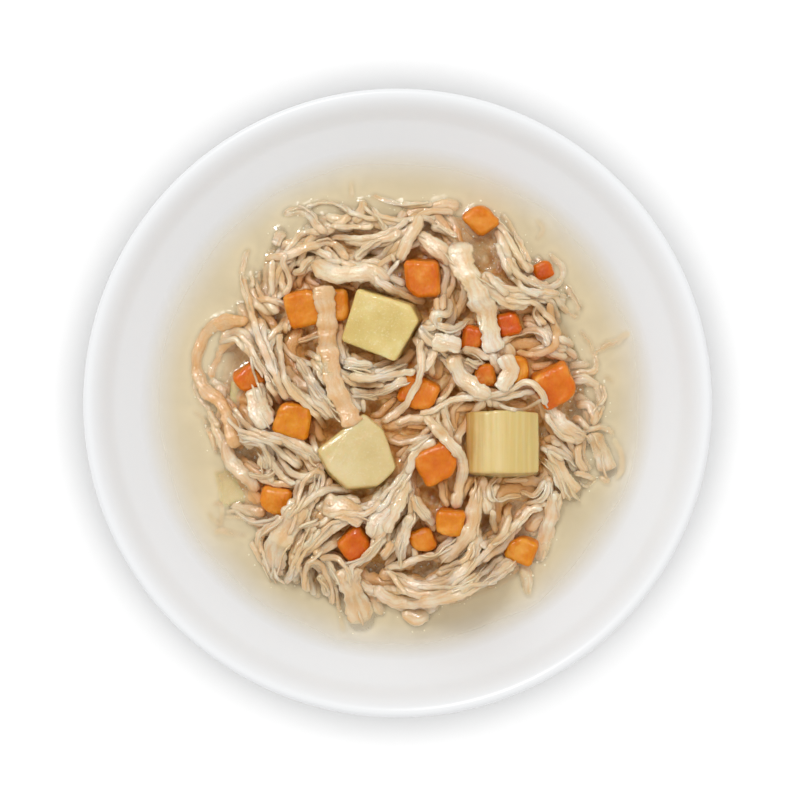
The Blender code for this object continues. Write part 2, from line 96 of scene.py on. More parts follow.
LEVEL = float(well_height(WATERLINE_RADIUS))
print(f"broth level {LEVEL / MM:.1f} mm, heap top {heap_top(0.0, 0.0) / MM:.1f} mm")

# %% [markdown]
# ## Small helpers
# Colours are easiest to compare as the hex values that a picture shows, so one function turns them
# into the linear values that shaders work with. Another adds a node with its settings and links, which
# keeps the material recipes short. The rest make plain mesh objects and store values on their points.

# %% Colours, nodes and meshes
def linear(hex_text):
    """An sRGB hex colour as linear RGBA."""
    parts = [int(hex_text[i : i + 2], 16) / 255 for i in (0, 2, 4)]
    return [part / 12.92 if part <= 0.04045 else ((part + 0.055) / 1.055) ** 2.4 for part in parts] + [1.0]


def set_inputs(tree, node, values):
    """Sets or links a node's inputs. A node as a value stands for the first output that it shows."""
    for name, value in dict(values).items():
        if isinstance(value, bpy.types.Node):
            value = next(output for output in value.outputs if output.enabled)
        if isinstance(value, bpy.types.NodeSocket):
            tree.links.new(value, node.inputs[name])
        else:
            node.inputs[name].default_value = value


def add_node(tree, kind, links=(), **settings):
    """Adds a node. settings are its own options, and links gives its inputs."""
    node = tree.nodes.new(kind)
    for name, value in settings.items():
        setattr(node, name, value)
    set_inputs(tree, node, links)
    return node


def mesh_object(name, points, faces, material):
    """A smooth-shaded object from an array of points and a list of faces."""
    mesh = bpy.data.meshes.new(name)
    mesh.from_pydata([tuple(point) for point in points], [], [tuple(face) for face in faces])
    mesh.materials.append(material)
    mesh.shade_smooth()
    obj = bpy.data.objects.new(name, mesh)
    bpy.context.scene.collection.objects.link(obj)
    return obj


def tidy_normals(obj):
    """Merges doubles and turns every face outwards."""
    bm = bmesh.new()
    bm.from_mesh(obj.data)
    bmesh.ops.remove_doubles(bm, verts=bm.verts, dist=0.001 * MM)
    bmesh.ops.recalc_face_normals(bm, faces=bm.faces)
    bm.to_mesh(obj.data)
    bm.free()
    obj.data.shade_smooth()


def point_values(obj, name, values, kind="FLOAT"):
    """Stores one value for each point of a mesh."""
    attribute = obj.data.attributes.new(name, kind, "POINT")
    field = "vector" if kind == "FLOAT_VECTOR" else "value"
    attribute.data.foreach_set(field, np.asarray(values, np.float32).ravel())


def triangles(obj):
    """How many triangles a piece has."""
    obj.data.calc_loop_triangles()
    return len(obj.data.loop_triangles)


# %% [markdown]
# ## What the broth does to colours
# The broth is a thin stock clouded by fine chicken and vegetable particles. What lies in it fades
# towards the stock's own beige with depth, and white porcelain seen through it turns warm by degrees.
# A real volume would be noisy and would not export, so each wet material works the fade out for
# itself: it reads how deep a point lies below the broth's level and mixes in the stock's colour.

# %% The fade below the broth's level
BROTH_DEEP = "E2CA94"


def sunk_share(tree, full_depth):
    """0 above the broth's level, rising to 1 at full_depth below it."""
    where = add_node(tree, "ShaderNodeTexCoord").outputs["Object"]
    height = add_node(tree, "ShaderNodeSeparateXYZ", {"Vector": where}).outputs["Z"]
    fade = {"Value": height, "From Min": LEVEL + 0.1 * MM, "From Max": LEVEL - full_depth}
    return add_node(tree, "ShaderNodeMapRange", fade, interpolation_type="SMOOTHSTEP")


def layered(tree, base, *layers):
    """Colours laid over a base. Each layer is how much of it covers what lies below, and its colour."""
    # 0, 6 and 7 are the sockets of a mix of colours: its share, its first and its second colour.
    for cover, colour in layers:
        if isinstance(colour, str):
            colour = linear(colour)
        base = add_node(tree, "ShaderNodeMix", {0: cover, 6: base, 7: colour}, data_type="RGBA")
    return base


def new_material(name):
    """A material with its node tree and its Principled shader."""
    material = bpy.data.materials.new(name)
    material.use_nodes = True
    return material, material.node_tree, material.node_tree.nodes["Principled BSDF"]


# %% [markdown]
# ## The bowl: glazed porcelain
# Porcelain is a white body under a clear glaze, IOR about 1.5. Under wide soft light it shows no
# hard reflections, only a soft sheen, so its roughness is fairly high for a glaze. The profile is
# turned round the axis, as the real one is on a potter's wheel. It is the solid's own profile with
# many more steps, and its inner side carries its depth under the broth for the tint.

# %% Porcelain with the broth's tint
DRY, DEEPEST = -0.5, 15.0  # millimetres below the broth's level where the tint starts and is full


def make_porcelain():
    material, tree, shader = new_material("glazed_porcelain")
    depth = add_node(tree, "ShaderNodeAttribute", attribute_name="wet_depth").outputs["Fac"]
    fade = {"Value": depth, "From Min": DRY, "From Max": DEEPEST}
    tint = add_node(tree, "ShaderNodeMapRange", fade, interpolation_type="SMOOTHSTEP")
    where = add_node(tree, "ShaderNodeTexCoord").outputs["Object"]
    glaze_ripple = add_node(tree, "ShaderNodeTexNoise", {"Vector": where, "Scale": 90.0, "Detail": 2.0})
    relief = {"Height": glaze_ripple, "Strength": 0.06, "Distance": 0.3 * MM}
    set_inputs(
        tree,
        shader,
        {
            "Base Color": layered(tree, linear("EFF0F1"), (tint, BROTH_DEEP)),
            "Roughness": 0.33,
            "IOR": 1.5,
            "Coat Weight": 0.25,
            "Coat Roughness": 0.16,
            "Normal": add_node(tree, "ShaderNodeBump", relief),
        },
    )
    return material


porcelain = make_porcelain()


# %% Turn the bowl
LIP_ROUND, LIP_RUN = 1.5 * MM, 11 * MM  # the lip's rounding, and how far in it blends into the well


def bowl_profile():
    """Half of the bowl's section, from under its middle out over the lip and back to the well."""
    foot_inner = FOOT_RADIUS - FOOT_WIDTH
    profile = [(0.0, FOOT_HEIGHT), (foot_inner * 0.5, FOOT_HEIGHT), (foot_inner - 1.4 * MM, FOOT_HEIGHT)]
    profile += [(foot_inner - 0.6 * MM, 1.6 * MM), (foot_inner, 0.5 * MM), (foot_inner + 0.8 * MM, 0.0)]
    profile += [(FOOT_RADIUS - 0.7 * MM, 0.0), (FOOT_RADIUS, 0.4 * MM), (FOOT_RADIUS + 0.6 * MM, 1.0 * MM)]
    start, run = FOOT_RADIUS + 1.3 * MM, RIM_RADIUS - FOOT_RADIUS - LIP_ROUND
    for share in np.linspace(0, 1, 34):
        profile.append((start + run * share, 1.6 * MM + OUTER_RISE * share**OUTER_POWER))
    for turn in np.linspace(-0.2, math.pi / 2, 8):
        lip_radius = RIM_RADIUS - LIP_ROUND + LIP_ROUND * math.cos(turn)
        profile.append((lip_radius, RIM_HEIGHT - LIP_ROUND * (1 - math.sin(turn))))
    start, end = RIM_RADIUS - LIP_ROUND, RIM_RADIUS - LIP_RUN
    low, slope = float(well_height(end)), 2 * WELL_DEPTH * (end - FLOOR_RADIUS) / WELL_RUN**2
    for share in np.linspace(0, 1, 16)[1:]:
        height = RIM_HEIGHT + (low - RIM_HEIGHT) * (3 * share**2 - 2 * share**3)
        height += slope * (end - start) * (share**3 - share**2)
        profile.append((start + (end - start) * share, height))
    for radius in np.linspace(end, FLOOR_RADIUS - 2 * MM, 60)[1:]:
        profile.append((radius, float(well_height(radius))))
    profile += [(FLOOR_RADIUS * 0.5, FLOOR_TOP), (0.0, FLOOR_TOP)]
    return profile


def turned(name, profile, steps, material):
    """Turns a profile round the axis."""
    bm = bmesh.new()
    verts = [bm.verts.new((radius, 0.0, height)) for radius, height in profile]
    edges = [bm.edges.new(pair) for pair in zip(verts, verts[1:])]
    bmesh.ops.spin(bm, geom=verts + edges, axis=(0, 0, 1), cent=(0, 0, 0), angle=TAU, steps=steps)
    mesh = bpy.data.meshes.new(name)
    bm.to_mesh(mesh)
    bm.free()
    mesh.materials.append(material)
    obj = bpy.data.objects.new(name, mesh)
    bpy.context.scene.collection.objects.link(obj)
    tidy_normals(obj)
    return obj


bowl = turned("porcelain_bowl", bowl_profile(), 180, porcelain)
spots = np.array([vertex.co for vertex in bowl.data.vertices])
radii = np.hypot(spots[:, 0], spots[:, 1])
inside = np.abs(spots[:, 2] - well_height(radii)) < 0.05 * MM
# The broth is a little cloudier towards the right, as if it were a millimetre deeper there. What isn't
# the well's surface counts as 20 mm above the broth.
cloudier = spots[:, 0] / WATERLINE_RADIUS
point_values(bowl, "wet_depth", np.where(inside, (LEVEL - spots[:, 2]) / MM + cloudier, -20.0))
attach(bowl, "root")
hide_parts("bowl")
print("bowl triangles:", triangles(bowl))

# %% [markdown]
# ## The vegetables: diced carrot, potato and a length of celery
# Each piece was cut with a knife and then simmered, so its faces are flat but a little sunken and its
# edges have gone soft. The solids already have the cut shapes. A voxel remesh of a copy gives an even
# skin, smoothing rounds the edges, and a little noise makes the faces uneven.

# %% Soften the cut blocks
def joined_copy(names):
    """One mesh from copies of CAD nodes, with the loose triangles merged."""
    bm = bmesh.new()
    for name in names:
        bm.from_mesh(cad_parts[name].data)
    bmesh.ops.remove_doubles(bm, verts=bm.verts, dist=0.01 * MM)
    mesh = bpy.data.meshes.new("cut_blocks")
    bm.to_mesh(mesh)
    bm.free()
    return mesh


def softened(name, names, voxel, passes, uneven, material):
    """The blocks as one evenly meshed, softened piece."""
    return evenly_skinned(name, joined_copy(names), voxel, passes, uneven, material)


def evenly_skinned(name, mesh, voxel, passes, uneven, material):
    """An object with an even, smoothed and slightly uneven skin over a mesh."""
    obj = bpy.data.objects.new(name, mesh)
    bpy.context.scene.collection.objects.link(obj)
    remesh = obj.modifiers.new("even skin", "REMESH")
    remesh.mode = "VOXEL"
    remesh.voxel_size = voxel
    smooth = obj.modifiers.new("soft edges", "SMOOTH")
    smooth.factor = 0.5
    smooth.iterations = passes
    graph = bpy.context.evaluated_depsgraph_get()
    mesh = bpy.data.meshes.new_from_object(obj.evaluated_get(graph))
    obj.modifiers.clear()
    obj.data = mesh
    mesh.materials.clear()
    mesh.materials.append(material)
    spots = [vertex.co.copy() for vertex in mesh.vertices]
    outward = [vertex.normal.copy() for vertex in mesh.vertices]
    moved = []
    for spot, normal in zip(spots, outward):
        swell = noise.noise(spot * 260.0) + 0.35 * noise.noise(spot * 1100.0 + Vector((7.0, 3.0, 1.0)))
        moved.append(spot + normal * (uneven * swell))
    mesh.vertices.foreach_set("co", np.array(moved, np.float32).ravel())
    mesh.update()
    mesh.shade_smooth()
    return obj


# %% [markdown]
# Boiled carrot is orange from carotene, paler in its core, with a wet cut face. Its flesh lets light in
# a millimetre or two, which keeps its shaded sides red-orange and not grey. The root's fine fibres show
# as faint streaks a little less than a millimetre apart.

# %% Carrot flesh
WARM_SPREAD = (1.0, 0.45, 0.2)  # red light travels farthest through flesh
FADE_DEPTH = 9 * MM


def wet_food(name, base, relief, relief_mm, roughness, scatter, scatter_mm, coat, spread=WARM_SPREAD):
    """What all moist cooked food shares: scattering flesh under a film of broth."""
    material, tree, shader = new_material(name)
    colour = layered(tree, base(tree), (sunk_share(tree, FADE_DEPTH), BROTH_DEEP))
    relief = {"Height": relief(tree), "Strength": 1.0, "Distance": relief_mm * MM}
    bump = add_node(tree, "ShaderNodeBump", relief)
    set_inputs(
        tree,
        shader,
        {
            "Base Color": colour,
            "Roughness": roughness,
            "IOR": 1.4,
            "Specular IOR Level": 0.2,
            "Subsurface Weight": scatter,
            "Subsurface Radius": spread,
            "Subsurface Scale": scatter_mm * MM,
            "Coat Weight": coat,
            "Coat Roughness": 0.09,
            "Coat IOR": 1.36,
            "Coat Normal": bump,
            "Normal": bump,
        },
    )
    return material


def object_noise(tree, scale, detail=2.0, stretch=(1.0, 1.0, 1.0)):
    """Noise over the piece. scale is in waves per metre, and stretch below 1 draws it out along an axis."""
    where = add_node(tree, "ShaderNodeTexCoord").outputs["Object"]
    fit = add_node(tree, "ShaderNodeMapping", {"Vector": where, "Scale": stretch})
    return add_node(tree, "ShaderNodeTexNoise", {"Vector": fit, "Scale": scale, "Detail": detail})


def ramp(tree, share, *stops):
    """Colours along a value. Each stop is (place, hex)."""
    node = add_node(tree, "ShaderNodeValToRGB", {"Fac": share})
    elements = node.color_ramp.elements
    while len(elements) < len(stops):
        elements.new(0.5)
    for element, (place, hex_text) in zip(elements, stops):
        element.position = place
        element.color = linear(hex_text)
    return node.outputs["Color"]


def shaded_flank_share(tree):
    """Where painted shade goes: 0 on faces that look up, 1 on upright ones."""
    facing = add_node(tree, "ShaderNodeNewGeometry").outputs["Normal"]
    upward = add_node(tree, "ShaderNodeSeparateXYZ", {"Vector": facing}).outputs["Z"]
    return add_node(tree, "ShaderNodeMapRange", {"Value": upward, "From Min": 0.85, "From Max": 0.1})


def carrot_colour(tree):
    vary = object_noise(tree, 150.0, 4.0)
    deep = ramp(tree, vary, (0.3, "D05406"), (0.5, "DC6A08"), (0.7, "E6882A"))
    bright = ramp(tree, vary, (0.3, "D67C08"), (0.5, "E09012"), (0.7, "EEB04C"))
    hue = add_node(tree, "ShaderNodeAttribute", attribute_name="hue").outputs["Fac"]
    # The upright sides take a flatter orange, which is painted shade.
    return layered(tree, deep, (hue, bright), (shaded_flank_share(tree), "DE7C1C"))


def carrot_bump(tree):
    streaks = object_noise(tree, 1100.0, 3.0, (1.0, 0.3, 1.0))
    dents = {0: object_noise(tree, 260.0), 1: 1.5, 2: streaks}
    return add_node(tree, "ShaderNodeMath", dents, operation="MULTIPLY_ADD")


# How yellow each piece of carrot is, from 0 (red-orange) to 1 (yellow-orange), as the photograph shows.
CARROT_HUES = (
    0.35, 0.75, 0.7, 0.6, 0.25, 0.9, 0.25, 0, 0.05, 0.8,
    0.4, 0.4, 0.75, 0.6, 0.2, 0.85, 0.75, 0.1, 0.3,
)


def mark_pieces(obj, names, values):
    """Gives each point of a joined piece the value of the solid that it lies nearest to."""
    solids = [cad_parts[name].data.vertices for name in names]
    centres = np.array([np.mean([tuple(vertex.co) for vertex in solid], axis=0) for solid in solids])
    spots = np.array([tuple(vertex.co) for vertex in obj.data.vertices])
    nearest = ((spots[:, None] - centres[None]) ** 2).sum(axis=2).argmin(axis=1)
    point_values(obj, "hue", np.array(values)[nearest])


carrot_flesh = wet_food(
    "boiled_carrot", carrot_colour, carrot_bump, relief_mm=0.34,
    roughness=0.48, scatter=0.6, scatter_mm=3.2, coat=0.32,
)
carrot_names = sorted(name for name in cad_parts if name.startswith("carrot_"))
carrots = softened(
    "carrot_dice", carrot_names, voxel=0.45 * MM, passes=4, uneven=0.42 * MM, material=carrot_flesh
)
mark_pieces(carrots, carrot_names, CARROT_HUES)
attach(carrots, "root")
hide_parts(*carrot_names)
print("carrot triangles:", triangles(carrots))

# %% [markdown]
# Boiled potato is waxy and yellow, nearly translucent at its edges. Starch gives its faces a fine
# grain of about 0.7 mm and a few shallow pits.

# %% Potato flesh
def potato_colour(tree):
    top = ramp(tree, object_noise(tree, 90.0, 4.0), (0.3, "D4B96C"), (0.5, "DFC880"), (0.7, "ECDDA6"))
    grain = object_noise(tree, 1300.0, 3.0)
    specks = {"Value": grain, "From Min": 0.56, "From Max": 0.7, "To Max": 0.35}
    starch = add_node(tree, "ShaderNodeMapRange", specks)
    hue = add_node(tree, "ShaderNodeAttribute", attribute_name="hue").outputs["Fac"]
    duller = add_node(tree, "ShaderNodeMath", {0: hue, 1: 0.5}, operation="MULTIPLY")
    # The upright sides turn a darker gold, which is painted shade.
    return layered(tree, top, (starch, "F3E8C4"), (duller, "D3BC90"), (shaded_flank_share(tree), "D8B668"))


def potato_bump(tree):
    pits = {0: object_noise(tree, 240.0), 1: 2.5, 2: object_noise(tree, 1500.0, 3.0)}
    return add_node(tree, "ShaderNodeMath", pits, operation="MULTIPLY_ADD")


potato_flesh = wet_food(
    "boiled_potato", potato_colour, potato_bump, relief_mm=0.13,
    roughness=0.42, scatter=0.5, scatter_mm=4.0, coat=0.7,
)
potato_names = ["potato_back", "potato_front"]
potatoes = softened(
    "potato_chunks", potato_names, voxel=0.55 * MM, passes=3, uneven=0.15 * MM, material=potato_flesh
)
mark_pieces(potatoes, potato_names, (0.0, 1.0))  # the front one is duller
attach(potatoes, "root")
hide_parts("potato_back", "potato_front")
print("potato triangles:", triangles(potatoes))

# %% [markdown]
# Two more pieces of potato lie wholly under the broth at the left, and only their haze of yellow shows.
# They are plain boxes, softened in the same way.

# %% Sunk potato
def sunk_block(place, size, turn):
    """An upright box under the broth."""
    bm = bmesh.new()
    bmesh.ops.create_cube(bm, size=1.0)
    turned_box = Matrix.Rotation(math.radians(turn), 4, "Z") @ Matrix.Diagonal((*size, 1.0))
    bmesh.ops.transform(bm, matrix=Matrix.Translation(place) @ turned_box, verts=bm.verts)
    return bm


def softened_boxes(name, boxes, material):
    """One softened piece from boxes, each a place, a size and a turn, in millimetres and degrees."""
    mesh = bpy.data.meshes.new(name)
    whole = bmesh.new()
    for place, size, turn in boxes:
        part = sunk_block([value * MM for value in place], [value * MM for value in size], turn)
        part.to_mesh(mesh)
        whole.from_mesh(mesh)
        part.free()
    whole.to_mesh(mesh)
    whole.free()
    return evenly_skinned(name, mesh, voxel=0.6 * MM, passes=4, uneven=0.25 * MM, material=material)


SUNK_BOXES = [((-56, -28, 13.7), (10, 13, 8.4), 12), ((-53.4, 3.4, 16.6), (6, 7.5, 6.5), -8)]
sunk_potato = softened_boxes("sunk_potato", SUNK_BOXES, potato_flesh)
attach(sunk_potato, "root")
print("sunk potato triangles:", triangles(sunk_potato))

# %% [markdown]
# The celery is a length across a stalk. Its strings run along it as ribs about 1.2 mm apart. Its left
# edge, where the stalk curls under, is painted darker and browner as shade. Noise stretched along Y
# gives the ribs, so they stay on the arch whatever its shape.

# %% Celery flesh
CELERY_PLACE = (35.0 * MM, -13.2 * MM)
CELERY_HALF = 12.5 * MM


def celery_ribs(tree):
    return object_noise(tree, 820.0, 2.0, (1.0, 0.02, 0.15))


def celery_colour(tree):
    left, right = CELERY_PLACE[0] - CELERY_HALF, CELERY_PLACE[0] + CELERY_HALF
    where = add_node(tree, "ShaderNodeTexCoord").outputs["Object"]
    across = add_node(tree, "ShaderNodeSeparateXYZ", {"Vector": where}).outputs["X"]
    span = add_node(tree, "ShaderNodeMapRange", {"Value": across, "From Min": left, "From Max": right})
    # Painted shade: brown at the left edge where the stalk curls under, fading to the pale top.
    base = ramp(tree, span, (0.0, "B97A2C"), (0.12, "D0A75A"), (0.3, "DABF7A"), (1.0, "D6BA72"))
    lift = {"Value": celery_ribs(tree), "From Min": 0.4, "From Max": 0.68, "To Max": 0.24}
    return layered(tree, base, (add_node(tree, "ShaderNodeMapRange", lift), "F0E3B4"))


celery_flesh = wet_food(
    "boiled_celery", celery_colour, celery_ribs, relief_mm=0.18,
    roughness=0.4, scatter=0.5, scatter_mm=3.0, coat=0.7,
)
celery = softened(
    "celery_length", ["celery"], voxel=0.5 * MM, passes=7, uneven=0.15 * MM, material=celery_flesh
)
# The front end is cut in a shallow curve, 1.1 mm farther forward in its middle.
for vertex in celery.data.vertices:
    across = (vertex.co.x - CELERY_PLACE[0]) / CELERY_HALF
    toward_end = max(0.0, (CELERY_PLACE[1] - vertex.co.y) / (10 * MM))
    vertex.co.y -= 1.1 * MM * max(0.0, 1 - across**2) * toward_end
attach(celery, "root")
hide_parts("celery")
print("celery triangles:", triangles(celery))

# %% [markdown]
# ## The pile: where shreds come to lie
# Shreds of chicken fall over each other, so each one's height depends on those below it. Cloth or
# rigid body simulation of hundreds of them would take too long. A height map does the same work:
# it starts as the heap's core, each new shred rests on it, stiffened a little along its length so
# that it bridges small gaps, and is then added to it. The vegetables have a height map of their own,
# because only the shreds that lie over them in the photograph climb onto them.

# %% The height map
CELL, REACH = 0.5 * MM, 93 * MM
CORE_DROP = 4.0 * MM  # how far the hidden core lies below the heap's solid
CEILING = 38.8 * MM  # no shred lies higher, so that the heap stays inside the solids' box
axis = np.arange(-REACH, REACH + CELL / 2, CELL)
grid_x, grid_y = np.meshgrid(axis, axis, indexing="ij")
grid_r = np.hypot(grid_x, grid_y)
grid_edge = heap_radius(np.arctan2(grid_y, grid_x))


def floating(radius, edge):
    """How high loose shreds float beyond the heap: just under the broth's level, lower farther out."""
    return LEVEL - 1.0 * MM - 0.13 * np.maximum(0.0, radius - edge)


# Gaps between the shreds: x, y, radius and depth in millimetres.
HOLLOWS = [
    (-21, -9, 4.0, 5), (-49, -18, 4.0, 2.4), (-8, -1.5, 2.6, 4), (8.5, 30.5, 3.2, 4), (19.5, 3.5, 2.2, 3),
    (48.7, -9, 2.6, 4), (10.5, -30.5, 4.2, 5), (9.5, -55.5, 3.6, 4), (-8, -55, 4.0, 3),
    (29.5, -40.5, 3.2, 4), (-31, 22.5, 2.6, 4), (-30, 17, 2.8, 4), (24, 29.5, 3.4, 3),
    (-17, 36, 2.4, 3), (26.5, 49, 5.5, 6), (-56, 12, 6.0, 6), (60.5, -3, 3.5, 3), (-22, -44, 2.4, 3),
    (36, 27, 2.2, 3), (-3, 33, 2.0, 3), (55, 25, 2.6, 4), (-13, -30.5, 2.6, 3), (39, -35, 2.2, 3),
    (-40, 28, 2.4, 3), (57, -21, 2.2, 3),
]


def hollow_depth(x, y):
    """How far the core drops where the photograph shows a gap between the shreds."""
    drop = 0.0
    for place_x, place_y, radius, depth in HOLLOWS:
        squared = (x / MM - place_x) ** 2 + (y / MM - place_y) ** 2
        drop = np.maximum(drop, depth * MM * np.exp(-((squared / radius**2) ** 1.5)))
    return drop


def core_height(x, y):
    """The top of the hidden core."""
    return heap_top(x, y) - CORE_DROP - hollow_depth(x, y)


pile = np.where(grid_r < grid_edge, core_height(grid_x, grid_y), 0.0)
meat = np.where(grid_r < grid_edge, pile, 0.0)
pile = np.maximum(pile, floating(grid_r, grid_edge))


def top_map(objects):
    """The highest point of some pieces at each cell, from rays cast straight down."""
    heights = np.zeros_like(pile)
    for obj in objects:
        corners = [vertex.co.copy() for vertex in obj.data.vertices]
        low, high = np.min(corners, axis=0), np.max(corners, axis=0)
        tree = BVHTree.FromPolygons(corners, [polygon.vertices for polygon in obj.data.polygons])
        for i in np.flatnonzero((axis > low[0]) & (axis < high[0])):
            for j in np.flatnonzero((axis > low[1]) & (axis < high[1])):
                point = tree.ray_cast(Vector((axis[i], axis[j], high[2] + 5 * MM)), Vector((0, 0, -1)))[0]
                if point:
                    heights[i, j] = max(heights[i, j], point.z)
    return heights


proud = [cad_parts[name] for name in carrot_names + potato_names + ["celery"]]
vegetables = top_map(proud + [sunk_potato])
print("cells with vegetables:", int((vegetables > 0).sum()))


def patch(x, y, reach):
    """The map's cells within reach of a point: index ranges and squared distance."""
    i = slice(max(0, int((x - reach + REACH) / CELL)), int((x + reach + REACH) / CELL) + 2)
    j = slice(max(0, int((y - reach + REACH) / CELL)), int((y + reach + REACH) / CELL) + 2)
    return (i, j), (grid_x[i, j] - x) ** 2 + (grid_y[i, j] - y) ** 2


# %% [markdown]
# ## A shred's path
# A shred is described by its width and the points that it passes over, in millimetres from the bowl's
# middle. A smooth curve through them is cut into even steps. At each step the shred has a width that
# wanders and fades out at its ends, and a slight twist.

# %% Lay one shred
draw = random.Random(11)
SWAY, JITTER, JITTER_SHARE = 0.55 * MM, 0.4 * MM, 0.11  # wobbles to the side, less in thin shreds
TAPER_WIDTH = 3.4  # shreds wider than this get thinner in proportion
REST_SHARE = 0.6  # a shred rests on what lies within this share of its half width
BEDDING = 0.75  # how much of its half thickness it stands over that
PILE_SHADE_DEPTH, PILE_SHADE_EDGE = 4.5 * MM, 7 * MM  # painted shade: shreds turn browner the deeper they lie below the heap's top, less near the outline


def strip_noise(phase, count, step, layer):
    """Smooth random values along a shred, a step of the noise apart."""
    return np.array([noise.noise(Vector((phase, i * step, layer))) for i in range(count)])


def smooth_route(points, spacing):
    """Evenly spaced points on a smooth curve through the given ones."""
    points = np.asarray(points, float)
    ends = np.vstack([2 * points[0] - points[1], points, 2 * points[-1] - points[-2]])
    dense = []
    for before, start, end, after in zip(ends, ends[1:], ends[2:], ends[3:]):
        for t in np.linspace(0, 1, 12, endpoint=False):
            slope = (end - before) * t + (2 * before - 5 * start + 4 * end - after) * t**2
            dense.append(start + 0.5 * (slope + (3 * start - before - 3 * end + after) * t**3))
    dense = np.array(dense + [points[-1]])
    lengths = np.concatenate([[0], np.cumsum(np.linalg.norm(np.diff(dense, axis=0), axis=1))])
    count = max(5, int(round(lengths[-1] / spacing)) + 1)
    wanted = np.linspace(0, lengths[-1], count)
    return np.stack([np.interp(wanted, lengths, dense[:, k]) for k in range(2)], axis=1), lengths[-1]


def end_fade(spacing, half, count, point):
    """Width share along a shred: full, then rounded off within point half widths of each end."""
    place = np.arange(count) * spacing
    near = np.minimum(place, place[-1] - place) / (point * half)
    return 0.2 + 0.8 * np.sqrt(np.clip(near * (2 - near), 0, 1) * (near < 1) + (near >= 1))


def lay(points, width, tone, flatness=0.5, point=1.3, over=False, sink=0.0, stiff=10, spacing=0.9):
    """Lays a shred on the pile. It returns what the sweep needs at each step.

    Its ends taper within point half widths, sink is how deep it beds in millimetres, stiff is how many
    times its line is evened out over gaps, and with over it climbs onto the vegetables.
    """
    route, length = smooth_route(np.asarray(points, float) * MM, spacing * MM)
    smooth, count = route, len(route)
    phase = draw.uniform(0, 50)
    ahead = np.gradient(route, axis=0)
    ahead /= np.maximum(np.linalg.norm(ahead, axis=1), 1e-9)[:, None]
    sway = strip_noise(phase + 20, count, spacing * 0.3, 2.0)
    jitter = strip_noise(phase + 60, count, spacing * 0.7, 3.0)
    aside = SWAY * sway + min(JITTER, JITTER_SHARE * width * MM) * jitter
    route = route + np.column_stack([-ahead[:, 1], ahead[:, 0]]) * aside[:, None]
    wander = strip_noise(phase, count, spacing * 0.16, 0.0)
    ragged = strip_noise(phase + 40, count, spacing * 0.8, 1.0)
    fade = end_fade(length / (count - 1) / MM, width / 2, count, point)
    half = width * MM / 2 * fade * (1 + 0.3 * wander + 0.1 * ragged)
    thick = half * flatness * (1 + 0.25 * np.roll(wander, 3))
    thick *= min(1.0, (TAPER_WIDTH / width) ** 0.5)
    rest = np.empty(count)
    for k, (x, y) in enumerate(route):
        reach = max(REST_SHARE * half[k], CELL)
        cells, squared = patch(x, y, reach)
        near = squared <= reach**2
        below = pile[cells][near]
        if over:
            below = np.maximum(below, vegetables[cells][near])
        rest[k] = below.max()
    heights = rest.copy()
    for _ in range(stiff):
        middle = (heights[:-2] + heights[2:]) / 2
        heights[1:-1] = np.maximum(rest[1:-1], middle)
    heights = np.minimum(heights + BEDDING * thick - sink * MM, CEILING - thick)
    for k, (x, y) in enumerate(route):
        cells, squared = patch(x, y, half[k])
        share = squared / half[k] ** 2
        near = share < 1
        crown = heights[k] + thick[k] * np.sqrt(1 - share[near])
        for field in (pile, meat):
            view = field[cells]
            view[near] = np.maximum(view[near], crown)
    # Painted shade: the deeper a shred lies below the heap's top, the browner it is, less so near the
    # outline.
    edge = heap_radius(np.arctan2(route[:, 1], route[:, 0]))
    inside = np.clip((edge - np.hypot(route[:, 0], route[:, 1])) / PILE_SHADE_EDGE, 0, 1)
    below_top = heap_top(route[:, 0], route[:, 1]) + 1.0 * MM - heights
    path = np.column_stack([route, heights])
    course = np.column_stack([smooth, heights])
    for _ in range(4):
        course[1:-1] = (course[:-2] + 2 * course[1:-1] + course[2:]) / 4
    along = np.gradient(course, axis=0)
    along /= np.linalg.norm(along, axis=1)[:, None]
    twist = 0.5 * strip_noise(phase + 9, count, spacing * 0.07, 4.0)
    flat = np.cross(np.array([0, 0, 1.0]), along)
    flat /= np.maximum(np.linalg.norm(flat, axis=1), 1e-6)[:, None]
    upward = np.cross(along, flat)
    side = flat * np.cos(twist)[:, None] + upward * np.sin(twist)[:, None]
    upward = np.cross(along, side)
    return {
        "path": path,
        "side": side,
        "up": upward,
        "half": half,
        "thick": thick,
        "tone": np.clip(tone + 0.45 * sway, 0, 1),
        "pile_shade": np.clip(below_top / PILE_SHADE_DEPTH, 0, inside),
        "seed": np.full(count, phase),
    }
